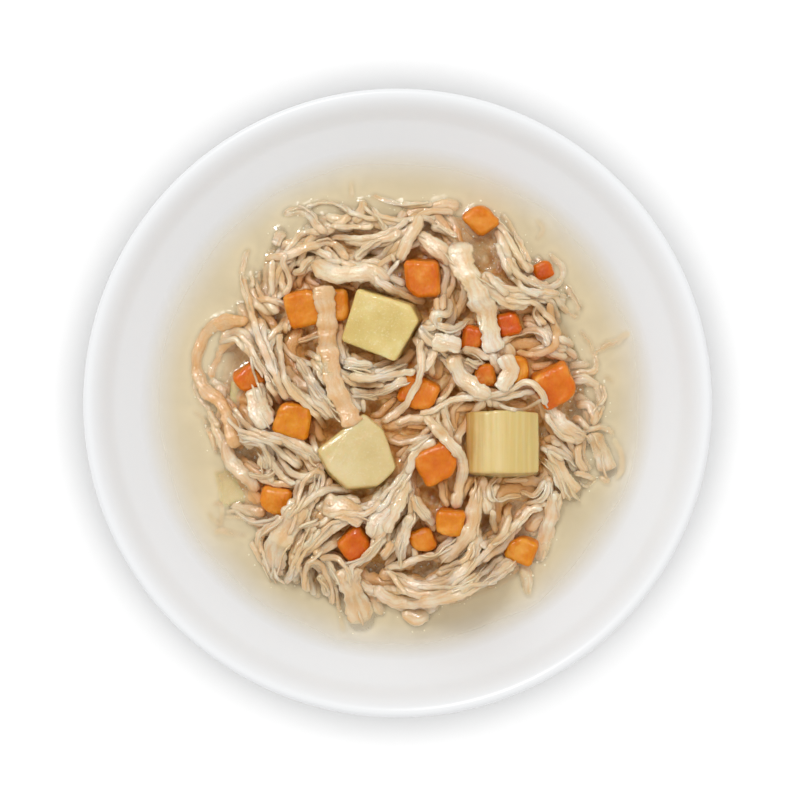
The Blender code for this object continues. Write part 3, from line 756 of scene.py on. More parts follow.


# %% [markdown]
# ## The shreds that show
# These are the shreds that someone looking down on the bowl can name one by one, roughly from the
# lowest to the highest. Each line is a width in millimetres, a tone from 0 (white meat) to 1 (tan,
# from the roasted outside), and the points that it passes over.

# %% Named shreds
LOW = [
    (3.4, 0.1, (45.5, 48), (48.5, 49)),
    (2.0, 0.2, (-15.6, 75), (-15.5, 68)),
    (3.0, 0.15, (66, 17), (75, 21.5), (80, 25)),
    (2.5, 0.3, (69, 9), (73, 7)),
    (2.5, 0.3, (-69, 7), (-67, 2), (-64, -1), (-61.6, -5), (-60, -9)),
    (2.0, 0.3, (-69, -2.4), (-66, -5), (-64, -8.5), (-62, -12.6), (-61, -18)),
    (2.5, 0.3, (-62, -44), (-59, -43), (-54, -44), (-50.7, -45)),
    (2.0, 0.3, (-64, -36.7), (-61.3, -40), (-59.6, -41), (-59.2, -37.7), (-59.6, -34), (-62.3, -34)),
    (4.5, 0.05, (42.5, -54), (43.5, -60), (44, -65)),
    (1.8, 0.2, (-21, -61), (-20, -66.7), (-19.4, -72), (-18, -77)),
    (2.0, 0.3, (46, 55), (49, 58), (47, 62)),
    (2.0, 0.3, (16.8, -67.8), (26.7, -64.4), (36, -60), (41, -55)),
    (5.0, 0.3, (-58, -12), (-57, -17), (-53.5, -22), (-49, -26), (-47.5, -30)),
    (1.8, 0.2, (-58, -36.7), (-52.7, -36.3), (-48, -37.7)),
    (1.8, 0.2, (-58, -38.4), (-52, -39), (-47.3, -39.4)),
    (2.5, 0.2, (73, -11.6), (75, -16.7), (75.4, -21), (74, -26)),
    (2.4, 0.15, (61, 24.5), (64.5, 20), (66.5, 15), (66.5, 11), (62, 10.3), (58, 9.8)),
    (2.0, 0.4, (57.6, 12), (61.7, 12.6), (65, 13)),
    (1.5, 0.3, (63, 34), (63, 30)),
    (5.0, 0.2, (1.5, -70.5), (6, -72), (10.5, -71)),
    (5.0, 0.9, (-50, 28), (-56, 27.5), (-62, 25.5), (-66, 20), (-67.5, 13), (-65.5, 6), (-60.5, 1),
     (-57, -4), (-55.5, -10), (-54, -15)),
    (3.0, 0.9, (-52.7, 22), (-57, 19.5), (-60, 16), (-62, 11.3), (-62.3, 8)),
]
MIDDLE = [
    (4.0, 0.2, (-26, -57), (-24, -62), (-24, -65)),
    (2.5, 0.1, (-35.4, -50.7), (-33.3, -54), (-31, -59), (-30.2, -63.7)),
    (3.0, 0.1, (-32.3, -53.8), (-35, -57), (-37.8, -61)),
    (4.0, 0.2, (-35, -34), (-40, -40), (-46, -45), (-44, -52), (-40, -60)),
    (2.4, 0.1, (-49.5, -46), (-45.5, -53), (-40, -60)),
    (3.0, 0.3, (-31, -38), (-36, -46), (-39, -52), (-39.5, -58)),
    (3.5, 0.15, (-23.7, 56.9), (-26.8, 59.3), (-28.8, 62.3), (-33.3, 64.6), (-38.4, 63.3)),
    (2.2, 0.15, (-31, 65.4), (-25.4, 67.4), (-20, 67), (-15.8, 64.7)),
    (4.0, 0.2, (-11.2, 68.5), (-12.5, 64), (-14.3, 60.3)),
    (2.4, 0.1, (-8.8, 64), (-6.4, 62.3), (-4.7, 59.6), (-4, 56.5)),
    (2.2, 0.1, (-22.5, 59), (-15.7, 59.2), (-10.5, 58.6), (-7.8, 59.6)),
    (4.5, 0.3, (-1.5, -57), (6, -61.5), (13, -61.5), (20, -58), (25, -51), (27, -41)),
    (3.0, 0.3, (-0.6, -62), (8.3, -64.4), (15, -63.3), (22, -60), (30.8, -54)),
    (4.5, 0.25, (-8, -62), (-2, -66), (6, -67), (14, -65.5), (22, -63), (29, -59), (35, -55.5),
     (40, -52)),
    (4.0, 0.2, (29.5, -60), (34.3, -57), (38.8, -53.4)),
    (2.4, 0.3, (61, -26), (63, -28), (67, -25.3)),
    (2.5, 0.4, (67.8, -25), (71.6, -27)),
    (2.6, 0.2, (61.7, -10), (65, -8.5), (70, -8.2), (73, -11)),
    (2.6, 0.2, (63, -10.3), (62, -14.3), (62.7, -18.5), (65, -23)),
    (4.0, 0.15, (59, 8), (63.5, 8), (67, 5), (68.5, 0), (67, -4)),
    (3.6, 0.2, (60, -1), (63.5, -0.5), (66, -3.5), (66, -7.5)),
    (3.0, 0.2, (58.5, -5), (61.5, -6), (64, -9)),
    (2.6, 0.1, (-9, 70), (-2, 67.5), (5, 66.5), (12, 67)),
    (2.0, 0.1, (-20, 66), (-12, 62.5), (-6, 61.5)),
    (1.6, 0.2, (68.4, 6.2), (69.5, 2), (67.5, -1)),
    (2.4, 0.3, (56, 39.8), (58.3, 36.7), (60.3, 33.3), (61.3, 29.8)),
    (2.8, 0.7, (50.5, 33.5), (51.5, 29), (53, 24), (52.3, 19.5), (49, 16.8), (44, 16.2), (40, 17.5)),
    (3.0, 0.5, (47.3, 32.6), (46.6, 29.8), (49.4, 26)),
    (3.0, 0.3, (54, 22.2), (59.3, 19)),
    (2.5, 0.1, (30.9, 65), (34.3, 59.6), (37.4, 54.8), (40, 50), (42.2, 46.6), (44, 43.5)),
    (2.4, 0.15, (35, 64), (38.8, 58.2), (42.2, 51.4), (44.6, 47)),
    (2.6, 0.1, (36, 48.7), (38.4, 45.2), (42, 41.8), (45.6, 39.4), (50, 38.4), (53.5, 39.8),
     (55.5, 42.5), (55.2, 46), (52.8, 48.7), (50.7, 50.7)),
    (2.2, 0.1, (41, 35), (45.3, 35.7), (49.7, 36), (52.8, 35.3), (55, 32.6), (58.3, 29.8), (61.3, 28.5)),
    (2.6, 0.3, (32, 18), (36, 21), (41, 23.3), (46, 24.3), (49.5, 22.5), (50.5, 19)),
    (3.0, 0.15, (48.7, -15), (53.5, -16), (57, -18.5), (60, -23)),
    (2.5, 0.1, (51.4, -12.6), (55, -14.3)),
    (3.0, 0.45, (60.3, -13.3), (61, -18.5), (63.7, -23.6)),
    (5.0, 0.1, (49.4, -19), (52, -22), (55, -26), (59, -32)),
    (2.5, 0.2, (59.3, -23.2), (63.4, -24.6), (67, -25.3)),
    (6.0, 0.2, (53, -29.5), (52, -36), (50, -43), (48.5, -49), (47.5, -53)),
    (2.2, 0.4, (-53, 23), (-49.3, 19), (-47, 14), (-44.2, 9.6), (-40.8, 4)),
    (1.8, 0.3, (-48.6, 15.7), (-47, 9), (-44.5, 3.8), (-41.8, -1)),
    (5.0, 0.15, (-53, -11.5), (-48.6, -12.3), (-43.2, -11.6), (-38.4, -11.3), (-33.3, -14.3),
     (-28.8, -17), (-26.4, -20)),
    (6.0, 0.2, (-45, -16.5), (-44, -19), (-43.5, -22)),
    (2.0, 0.2, (-50, -23.2), (-46.6, -24.6), (-42.5, -24.3), (-40, -22)),
    (2.4, 0.1, (-39.8, -15), (-39.4, -18), (-36.7, -22), (-33.3, -24.3), (-28.8, -24), (-26, -21.6)),
    (2.4, 0.1, (-38.4, -15.3), (-31.5, -21.2)),
    (2.2, 0.2, (-28.8, -10.3), (-27.5, -14.3), (-26, -17)),
    (4.0, 0.1, (-26.8, -26), (-28.2, -31), (-30, -35.3), (-30.2, -39.4), (-28.8, -43.2), (-30, -46.6)),
    (1.8, 0.1, (-33.3, -41.5), (-25.8, -40)),
    (4.0, 0.1, (-33, -51.4), (-29, -48), (-24.8, -44.2), (-20.3, -40.8), (-15.8, -38.7)),
    (4.0, 0.15, (-28.2, -51.4), (-23, -47.6), (-18, -43.8)),
    (2.6, 0.0, (-28.8, -51), (-27, -53), (-24.4, -52.4), (-22.7, -54.8), (-20.3, -58.2), (-18, -61.6)),
    (3.0, 0.1, (-27.5, -35.3), (-23, -33), (-15.8, -32), (-12.5, -33.5)),
    (2.2, 0.2, (-4.4, -55.5), (-0.3, -53.8), (5, -53.4), (6, -50.7), (5, -48)),
    (3.0, 0.6, (-2, -46), (-3.4, -49.3), (-5.4, -51.4)),
    (3.5, 0.1, (-4, -44.5), (-7.5, -48.6), (-11, -52), (-15.7, -54), (-19.8, -54.8)),
    (4.2, 0.15, (4.5, -37), (2.5, -43), (1.3, -48), (1, -53)),
    (2.8, 0.1, (19.2, -44.5), (15, -48.6), (11.7, -51.4), (7.6, -51.4)),
    (5.5, 0.4, (26.5, -28), (25.5, -36), (24, -43), (19.5, -49), (14, -52)),
    (3.2, 0.2, (48.7, -35.6), (44.6, -35.6), (42, -38.4), (37.7, -42.5), (33.3, -46), (27.5, -47.6)),
    (2.5, 0.2, (31.6, -35.6), (32, -40), (33.3, -43.8)),
    (3.2, 0.1, (37.4, -33.6), (36.7, -37.7), (37.4, -40.4)),
    (1.8, 0.2, (33.3, -24.7), (30.6, -28), (31.3, -32.2), (34.3, -32.6), (37.7, -31.2), (42, -31)),
    (1.6, 0.2, (35.4, -26), (44, -25.7)),
    (2.2, 0.1, (41.2, -29.5), (45.3, -31), (48, -28), (49.4, -25.7)),
    (2.2, 0.1, (43, -34), (46.6, -33), (49.7, -31), (51, -26)),
]
TOP = [
    (3.0, 0.3, (-44.5, 48.6), (-38.4, 49), (-33.3, 50.7), (-28.8, 52.7), (-24, 53.8), (-20, 52.4),
     (-18, 49.3), (-16.6, 47.6)),
    (2.0, 0.1, (-48.5, 46), (-49, 43), (-48.6, 38.4)),
    (1.8, 0.1, (-46.5, 45), (-46.8, 42.5), (-46.5, 40.5)),
    (2.5, 0.15, (-41.8, 48), (-42, 41.8), (-42, 36)),
    (2.2, 0.1, (-37, 50), (-38.4, 47), (-36.7, 43.5), (-36, 39.7), (-38.4, 35.7)),
    (3.0, 0.1, (-35.3, 43.8), (-32.2, 44.2), (-30.2, 47), (-28, 49.3)),
    (2.3, 0.6, (-47, 34.6), (-42.5, 34.6), (-39, 33.3), (-36.7, 31), (-36.5, 28), (-38.4, 23.2)),
    (2.4, 0.2, (-38.4, 23), (-39.4, 21), (-39, 15.7), (-38.4, 10.6), (-36.4, 5.5), (-33.6, 2),
     (-28.8, -2.4), (-23.7, -8.5)),
    (2.4, 0.1, (-45.2, 26), (-44.2, 21), (-42.2, 15.7), (-40, 8)),
    (2.8, 0.3, (-50, 52), (-51.7, 47), (-52, 41.8), (-50.7, 36.7), (-49.3, 31.5), (-47, 24),
     (-43.5, 14.7), (-40.8, 9.6), (-38.4, 4), (-36.4, 1.4)),
    (5.0, 0.1, (-33, 15), (-28, 5.5), (-23.7, -0.7), (-20.3, -4.8)),
    (2.2, 0.1, (-33.5, 20.5), (-29.5, 22), (-25.5, 23.5)),
    (2.4, 0.0, (-31.5, 16.5), (-28, 16), (-25.5, 14)),
    (2.6, 0.1, (-22.5, 55.8), (-13, 55), (-7, 55.5), (-3.4, 57), (0.8, 59.2), (3.5, 61.3)),
    (3.2, 0.1, (-14, 47.6), (-11.2, 50.7), (-7.8, 53.4), (-3.4, 54.8), (1.4, 57)),
    (5.5, 0.15, (6.6, 57), (10, 54), (14.4, 50.7), (18.5, 46.6)),
    (2.8, 0.1, (11, 59.2), (15, 58), (20, 55.5)),
    (4.6, 0.1, (7.6, 63), (6, 59), (3.8, 54.8), (1.4, 50), (0, 47)),
    (1.5, 0.1, (-2, 50), (-0.6, 46.6)),
    (1.5, 0.1, (0.8, 47.6), (-2, 44.5), (-4.4, 41.5)),
    (3.5, 0.05, (-18, 13.5), (-13, 13), (-8, 12.3)),
    (2.5, 0.05, (-7.8, 10), (-2, 11.3), (3.5, 12.6)),
    (3.0, 0.0, (-16.3, 9), (-9.5, 8.2), (-3.4, 9.2), (6, 10.6)),
    (3.5, 0.05, (-16, 4.8), (-10.5, 2.7), (-6, 3.8), (-0.2, 6.2), (5, 8.2)),
    (1.6, 0.05, (-15.3, 2.4), (-11, 2), (-6.4, 1.4)),
    (2.0, 0.1, (-12, 1.4), (-11, -3.4)),
    (2.2, 0.1, (-3.4, -12.6), (1.4, -13.3), (6.6, -12), (11.7, -10.3)),
    (2.3, 0.1, (1.4, -19.8), (2.8, -16.7), (6.6, -14.3), (11, -12.3)),
    (4.0, 0.3, (5, -31), (7.6, -35), (11, -38.5)),
    (2.4, 0.2, (15, -26), (15, -30.2), (16.8, -35)),
    (4.5, 0.05, (3.5, -25.5), (1.5, -32), (-1.8, -38.4), (-4, -43.2)),
    (3.0, 0.1, (15.4, 3.8), (15.4, -1.4), (16.5, -6.5), (17.8, -11.6), (19.5, -15)),
    (3.2, 0.15, (28.8, 1.4), (26.4, -2.4), (23, -6.5), (20.6, -11), (20, -14.4)),
    (1.8, 0.1, (18.2, 6.8), (16.8, 3.8), (14.4, 1), (11.7, -1)),
    (2.0, 0.2, (29.5, 2), (31.3, -1.4)),
    (5.5, 0.1, (50, 0), (53, -5), (58, -9.5), (63, -12)),
    (2.4, 0.05, (49.4, -3.4), (51.4, -7.5), (55, -11), (59.3, -13.3)),
    (3.2, 0.2, (16.8, 35), (16.8, 30.3), (12.4, 28.8), (14.4, 25.4), (18.5, 24.7), (23, 26.7),
     (25.4, 28)),
    (2.3, 0.2, (15.4, 36.7), (14.4, 31)),
    (3.5, 0.15, (21.6, 17.4), (25.3, 17.4), (28.8, 16), (30.5, 14.4)),
    (2.4, 0.1, (22.2, 14.4), (26.4, 13), (29.5, 13.3)),
]
SHEETS = [
    (9.5, 0.15, (-32, -33), (-36, -40), (-40.5, -48), (-41.5, -56)),
    (9.0, 0.25, (-17, -55), (-15.5, -62), (-13.5, -68), (-11.5, -74)),
    (8.5, 0.3, (-25, -33.5), (-18, -35.5), (-11, -38.5)),
    (7.5, 0.1, (3, -26), (-1, -33), (-6, -39), (-9, -45)),
    (7.0, 0.3, (65.5, -10), (69, -17), (70.5, -23)),
    (7.5, 0.1, (27, 42), (33, 38), (38, 35), (44, 35.2)),
    (8.0, 0.1, (-48, 5), (-46, -2), (-43, -8)),
    (7.0, 0.1, (52, -18), (55, -24), (59, -31)),
]
BLUNT = [
    (4.6, 0.1, (-41, 52.8), (-38.6, 57.8)),
    (6.0, 0.0, (11.5, 20.6), (16, 19.8), (21.3, 19.2)),
    (7.4, 0.7, (-25, 39), (-23.6, 31), (-23.5, 22), (-22.5, 12), (-19.5, 3), (-14.5, -7.5)),
    (8.2, 0.05, (20.8, 54), (21.5, 47), (25, 40), (28.8, 32), (31, 24), (32.6, 17)),
    (6.5, 0.1, (35.5, 16), (37, 11), (36, 7), (34.5, 4)),
]
OVER = [
    (3.5, 0.1, (3.8, -24), (5, -17.8), (8.3, -15), (12.7, -12.6)),
    (4.2, 0.1, (9, -4.5), (13, -8.5), (17, -13), (20.5, -17), (21.8, -22), (20.5, -29), (19.2, -35.3)),
    (2.4, 0.1, (7.3, -4), (11.7, -2.4), (17.8, 0.7), (23, 1.7), (29.2, 2), (36.4, 4), (39.8, 5.5),
     (43, 7.2), (46, 5.8), (48.4, 2.7), (49.7, -0.7)),
    (1.4, 0.1, (33.7, -0.7), (37.8, -2), (42, -2.4), (46, -0.3), (48, 1.4)),
    (6.2, 0.1, (17.5, 16), (20, 11), (23, 7), (27.5, 4), (31, 2.5)),
    (3.0, 0.1, (7.6, 21), (7.8, 15.7), (8, 11.3), (6.6, 6.5), (4.2, 2), (1.4, -1.4), (-2, -4.5),
     (-5.4, -5.8)),
    (6.5, 0.1, (-28.8, 47), (-21.3, 43.2), (-15, 43), (-8.8, 43.2), (-3.4, 40)),
    (3.0, 0.1, (-8, 42), (-3.4, 38.7), (1.4, 36.7), (5.5, 34.6), (9.6, 34.2)),
]
NAMED = LOW + MIDDLE + TOP + SHEETS + BLUNT + OVER
print("hand-laid shreds:", len(NAMED))

# %% [markdown]
# ## The shreds that fill the heap
# Between and below the named shreds lie many more that can't be told apart. They lie much as the named
# ones near them do, so the named shreds act as a direction field: at any place the ones close by vote
# for a direction, and a filler shred follows it with a slow wobble. Fillers start where the heap is
# still bare, go down first, and stop where a vegetable stands.

# %% Directions from the named shreds
VOTE_REACH = 4.0 * MM
VEER, FOLLOW, WOBBLE = 0.28, 0.5, 0.22  # off the lie in radians, share of a turn made in a step, noise
SHALLOW = 1.5 * MM  # meat keeps out of hollows deeper than this


def direction_samples(lines):
    """Places along the named shreds with their directions, as doubled angles so that both ways agree."""
    spots, votes = [], []
    for line in lines:
        route, _ = smooth_route(np.asarray(line[2:], float) * MM, 2.0 * MM)
        ahead = np.gradient(route, axis=0)
        angle = 2 * np.arctan2(ahead[:, 1], ahead[:, 0])
        spots.append(route)
        votes.append(np.column_stack([np.cos(angle), np.sin(angle)]))
    return np.vstack(spots), np.vstack(votes)


guide_spots, guide_votes = direction_samples(NAMED)


def lie_at(x, y):
    """The direction in which meat lies at a place, as an angle."""
    squared = (guide_spots[:, 0] - x) ** 2 + (guide_spots[:, 1] - y) ** 2
    weight = np.exp(-squared / (2 * VOTE_REACH**2)) + 1e-9
    vote = (weight[:, None] * guide_votes).sum(0)
    return 0.5 * math.atan2(vote[1], vote[0])


def is_free(x, y):
    """Whether meat may lie here: inside the heap and not inside a vegetable."""
    if math.hypot(x, y) > heap_radius(np.array(math.atan2(y, x))) + 3 * MM:
        return False
    bare = vegetables[int((x + REACH) / CELL), int((y + REACH) / CELL)] == 0
    return bare and hollow_depth(x, y) < SHALLOW


def wandering_path(x, y, lengths):
    """Follows the lie of the meat both ways from a place."""
    phase, veer = draw.uniform(0, 90), draw.gauss(0, VEER)
    path = [(x, y)]
    for way in (1, -1):
        here, heading = (x, y), lie_at(x, y) + (0 if way == 1 else math.pi)
        for step in range(int(draw.uniform(*lengths) / 2)):
            lie = lie_at(*here)
            turn = (lie - heading + math.pi / 2) % math.pi - math.pi / 2
            heading += FOLLOW * turn + WOBBLE * noise.noise(Vector((phase, way * step * 0.17, 0.0)))
            bearing = heading + veer
            here = (here[0] + MM * math.cos(bearing), here[1] + MM * math.sin(bearing))
            if not is_free(*here):
                break
            path = path + [here] if way == 1 else [here] + path
    return [(px / MM, py / MM) for px, py in path]


shreds = {"broad": [], "middle": [], "fine": [], "fibre": []}
BROAD_FROM, MIDDLE_FROM = 3.4, 2.1


def keep(laid, width):
    """Sorts a shred by its width, because wider ones get more sides."""
    kind = "broad" if width >= BROAD_FROM else "middle" if width >= MIDDLE_FROM else "fine"
    shreds[kind].append(laid)


def fill(count, widths, lengths, bare_only, sink):
    """Lays filler shreds, on bare places only or anywhere in the heap."""
    for _ in range(count):
        spots = np.argwhere(fillable & (meat < bare_height) if bare_only else fillable)
        if len(spots) < 40:
            break
        i, j = spots[draw.randrange(len(spots))]
        path = wandering_path(axis[i], axis[j], lengths)
        if len(path) < 6:
            continue
        width = draw.uniform(*widths)
        tone = max(0.0, draw.gauss(0.22, 0.15))
        keep(lay(path[::3] + path[-1:], width, tone, sink=sink, stiff=5), width)


def lay_named(lines, **manner):
    """Lays named shreds in one manner. Wide ones bridge longer gaps than thin ones."""
    for width, tone, *points in lines:
        keep(lay(points, width, tone, **{"stiff": 14 if width > 4 else 8, **manner}), width)


fillable = (grid_r < grid_edge - 1 * MM) & (vegetables == 0) & (hollow_depth(grid_x, grid_y) < SHALLOW)
bare_height = core_height(grid_x, grid_y) + 0.3 * MM
fill(170, widths=(2.6, 5.5), lengths=(16, 44), bare_only=True, sink=0.3)
fill(130, widths=(2.0, 3.6), lengths=(16, 50), bare_only=False, sink=0.2)
for line in LOW:
    lay_named([line], sink=0.9 if line[0] < 4 else 0.0, stiff=10)
lay_named(MIDDLE)
lay_named(SHEETS, flatness=0.26, point=0.5, stiff=14, spacing=0.7)
fill(60, widths=(1.4, 2.6), lengths=(14, 40), bare_only=False, sink=0.4)
lay_named(TOP)
lay_named(OVER, over=True)
lay_named(BLUNT, flatness=0.32, point=0.3, over=True, stiff=14, spacing=0.7)
print("shreds:", {kind: len(found) for kind, found in shreds.items()})

# %% [markdown]
# ## Frayed ends and loose fibres
# Pulled meat tears along its grain, so broad shreds end in a few tines, and fine fibres peel away
# from their sides. Both are short thin shreds that start on a broad one and leave it at a small angle.

# %% Fray
def fray(line, count, over):
    """Tines that carry on beyond a shred's torn ends. Lengths are in millimetres."""
    width, tone, *points = line
    points = np.asarray(points, float)
    for end, beside in ((points[-1], points[-2]), (points[0], points[1])):
        ahead = (end - beside) / max(np.linalg.norm(end - beside), 1e-6)
        across = np.array([-ahead[1], ahead[0]])
        for k in range(count):
            offset = ((k + 0.5) / count - 0.5) * 0.9 * width + draw.gauss(0, 0.15)
            start = end - ahead * draw.uniform(3.0, 7.0) + across * offset * 0.8
            tip = end + ahead * draw.uniform(-1.0, 3.5)
            tip = tip + across * (offset * draw.uniform(0.8, 1.5) + draw.gauss(0, 0.4))
            middle = (start + tip) / 2 + across * draw.gauss(0, 0.35)
            thin = draw.uniform(0.6, 1.3)
            manner = {"flatness": 0.7, "point": 5.0, "over": over, "spacing": 0.7, "stiff": 3, "sink": 0.25}
            shreds["fine"].append(lay([start, middle, tip], thin, tone, **manner))


def peel(count):
    """Loose fibres along the named shreds, 7 to 18 mm long."""
    for _ in range(count):
        width, tone, *points = draw.choice(MIDDLE + TOP)
        route, length = smooth_route(np.asarray(points, float) * MM, 1.0 * MM)
        if len(route) < 9:
            continue
        first = draw.randrange(0, len(route) - 7)
        part = route[first : first + draw.randrange(7, 19)] / MM
        ahead = part[-1] - part[0]
        across = np.array([-ahead[1], ahead[0]]) / max(np.linalg.norm(ahead), 1e-6)
        drift = np.linspace(0, draw.gauss(0, 1.2), len(part)) + draw.uniform(-0.4, 0.4) * width
        path = part + drift[:, None] * across
        thin = draw.uniform(0.6, 1.2)
        shreds["fibre"].append(lay(path[::2], thin, 0.5 * tone, flatness=0.8, stiff=4, sink=0.15))


for line in MIDDLE + TOP + OVER:
    if line[0] >= 4.0:
        fray(line, draw.randrange(0, 3), line in OVER)
for line in SHEETS:
    fray(line, 1, False)
peel(90)
print("with frayed ends:", {kind: len(found) for kind, found in shreds.items()})

# %% [markdown]
# ## Sweep the shreds
# A shred follows a path and repeats hundreds of times, so Geometry Nodes make its body. The guide
# mesh holds every path as a string of edges, with its half width, half thickness and the directions
# of its side and its back at each step. The tree sweeps a ring along the edges and then puts each
# point where those values say, pressed in by noise that is stretched along the meat's grain. That
# gives the grooves between muscle fibres, a little less than a millimetre apart.

# %% The sweep's tree
GRAIN_AROUND, GRAIN_ALONG = 1150.0, 210.0  # waves of the grain's noise per metre, round and along a shred


def named_sockets(tree, inputs, result):
    """Gives a tree its named inputs and its one result, and returns the node that holds the inputs."""
    for name, kind in inputs.items():
        tree.interface.new_socket(name, in_out="INPUT", socket_type="NodeSocket" + kind)
    tree.interface.new_socket(result, in_out="OUTPUT", socket_type="NodeSocketGeometry")
    return add_node(tree, "NodeGroupInput")


def finish_tree(tree, geometry, entry):
    """Ends a tree with real geometry in its own material, as the export needs."""
    real = add_node(tree, "GeometryNodeRealizeInstances", {"Geometry": geometry})
    finish = {"Geometry": real, "Material": entry.outputs["Material"]}
    add_node(tree, "NodeGroupOutput", {0: add_node(tree, "GeometryNodeSetMaterial", finish)})


def make_sweep():
    """A ring swept along every guide, with each point moved to where the guides' measures put it."""
    tree = bpy.data.node_groups.new("fibrous sweep", "GeometryNodeTree")
    inputs = {"Guides": "Geometry", "Sides": "Int", "Groove depth": "Float", "Material": "Material"}
    entry = named_sockets(tree, inputs, "Shreds")
    curves = add_node(tree, "GeometryNodeMeshToCurve", {"Mesh": entry.outputs["Guides"]})
    place = add_node(tree, "GeometryNodeInputPosition")
    length = add_node(tree, "GeometryNodeSplineParameter").outputs["Length"]
    turn = add_node(tree, "GeometryNodeSplineParameter").outputs["Factor"]
    ring_size = {"Resolution": entry.outputs["Sides"], "Radius": 0.1 * MM}
    ring = add_node(tree, "GeometryNodeCurvePrimitiveCircle", ring_size)
    store = "GeometryNodeStoreNamedAttribute"
    guides = curves
    for name, measure, kind in (("centre", place, "FLOAT_VECTOR"), ("along", length, "FLOAT")):
        guides = add_node(tree, store, {"Geometry": guides, "Name": name, "Value": measure}, data_type=kind)
    rings = add_node(tree, store, {"Geometry": ring, "Name": "around", "Value": turn}, data_type="FLOAT")
    sweeping = {"Curve": guides, "Profile Curve": rings, "Fill Caps": True}
    swept = add_node(tree, "GeometryNodeCurveToMesh", sweeping)
    value = {
        name: add_node(tree, "GeometryNodeInputNamedAttribute", {"Name": name}, data_type="FLOAT")
        for name in ("around", "along", "half", "thick", "seed")
    }
    across = {
        name: add_node(tree, "GeometryNodeInputNamedAttribute", {"Name": name}, data_type="FLOAT_VECTOR")
        for name in ("centre", "side", "up")
    }
    sums = (
        ("angle", "MULTIPLY", "around", TAU),
        ("cosine", "COSINE", "angle"),
        ("sine", "SINE", "angle"),
        ("out to the side", "MULTIPLY", "cosine", "half"),
        ("out and up", "MULTIPLY", "sine", "thick"),
        ("grain x", "MULTIPLY", "out to the side", GRAIN_AROUND),
        ("grain y", "MULTIPLY", "out and up", GRAIN_AROUND),
        ("grain z", "MULTIPLY_ADD", "along", GRAIN_ALONG, "seed"),
    )
    for result, operation, *terms in sums:
        terms = dict(enumerate(value.get(term, term) for term in terms))
        value[result] = add_node(tree, "ShaderNodeMath", terms, operation=operation)
    spot = {0: value["grain x"], 1: value["grain y"], 2: value["grain z"]}
    grain = add_node(tree, "ShaderNodeCombineXYZ", spot)
    flutes = add_node(tree, "ShaderNodeTexNoise", {"Vector": grain, "Scale": 1.0, "Detail": 2.0})
    groove = {"From Min": 0.3, "From Max": 0.62, "To Min": entry.outputs["Groove depth"], "To Max": 0.0}
    pressed = add_node(tree, "ShaderNodeMapRange", {"Value": flutes, **groove})
    kept_share = add_node(tree, "ShaderNodeMath", {0: 1.0, 1: pressed}, operation="SUBTRACT")
    position = across["centre"]
    for way, reach in (("side", "out to the side"), ("up", "out and up")):
        reach = add_node(tree, "ShaderNodeMath", {0: value[reach], 1: kept_share}, operation="MULTIPLY")
        push = add_node(tree, "ShaderNodeVectorMath", {0: across[way], "Scale": reach}, operation="SCALE")
        position = add_node(tree, "ShaderNodeVectorMath", {0: position, 1: push}, operation="ADD")
    moved = add_node(tree, "GeometryNodeSetPosition", {"Geometry": swept, "Position": position})
    finish_tree(tree, moved, entry)
    return tree


sweep = make_sweep()
print("nodes in the sweep's tree:", len(sweep.nodes))

# %% [markdown]
# Chicken breast is nearly white when cooked through, creamy where thick and tan where its outside
# browned. Between the fibres it holds broth, which with painted shade darkens the grooves, and its
# ridges get small sharp glints. Shreds that lie deep in the pile are painted browner as shade. Light
# enters it a millimetre, so shaded sides turn warm and pinkish.

# %% Chicken meat
def chicken_grain(tree, around_scale, along_scale):
    """Noise that runs with the meat's fibres, from the sweep's own measures of round and along."""
    value = {}
    for name in ("around", "along", "seed"):
        value[name] = add_node(tree, "ShaderNodeAttribute", attribute_name=name).outputs["Fac"]
    angle = add_node(tree, "ShaderNodeMath", {0: value["around"], 1: TAU}, operation="MULTIPLY")
    run = {0: value["along"], 1: along_scale, 2: value["seed"]}
    spot = {2: add_node(tree, "ShaderNodeMath", run, operation="MULTIPLY_ADD")}
    for side, wave in enumerate(("COSINE", "SINE")):
        place = {0: add_node(tree, "ShaderNodeMath", {0: angle}, operation=wave), 1: around_scale}
        spot[side] = add_node(tree, "ShaderNodeMath", place, operation="MULTIPLY")
    grain = {"Vector": add_node(tree, "ShaderNodeCombineXYZ", spot), "Scale": 1.0, "Detail": 3.0}
    return add_node(tree, "ShaderNodeTexNoise", grain)


def chicken_colour(tree):
    tone = add_node(tree, "ShaderNodeAttribute", attribute_name="tone").outputs["Fac"]
    patches = object_noise(tree, 110.0, 2.0)
    pale = ramp(tree, patches, (0.3, "E5CDA2"), (0.5, "EADBBC"), (0.7, "ECE4D2"))
    # Painted shade: shreds that lie deep in the pile turn browner.
    pile_shade = add_node(tree, "ShaderNodeAttribute", attribute_name="pile_shade").outputs["Fac"]
    pile_shade_share = add_node(tree, "ShaderNodeMath", {0: pile_shade, 1: 0.72}, operation="MULTIPLY")
    # The broth held between the fibres, plus painted shade: darker streaks along the grain.
    groove = {"From Min": 0.35, "From Max": 0.6, "To Min": 0.45, "To Max": 0.0}
    wet_and_shade = add_node(tree, "ShaderNodeMapRange", {"Value": chicken_grain(tree, 2.4, 140.0), **groove})
    return layered(tree, pale, (tone, "E0B27A"), (pile_shade_share, "DE983A"), (wet_and_shade, "D99A4A"))


def chicken_bump(tree):
    relief = {0: object_noise(tree, 1300.0, 3.0), 1: 1.6, 2: chicken_grain(tree, 3.0, 90.0)}
    return add_node(tree, "ShaderNodeMath", relief, operation="MULTIPLY_ADD")


PALE_SPREAD = (1.0, 0.68, 0.44)  # white meat tints the light in it less than vegetables do
chicken_meat = wet_food(
    "pulled_chicken", chicken_colour, chicken_bump, relief_mm=0.16,
    roughness=0.42, scatter=0.4, scatter_mm=1.2, coat=1.0, spread=PALE_SPREAD,
)
print("nodes in the meat's material:", len(chicken_meat.node_tree.nodes))


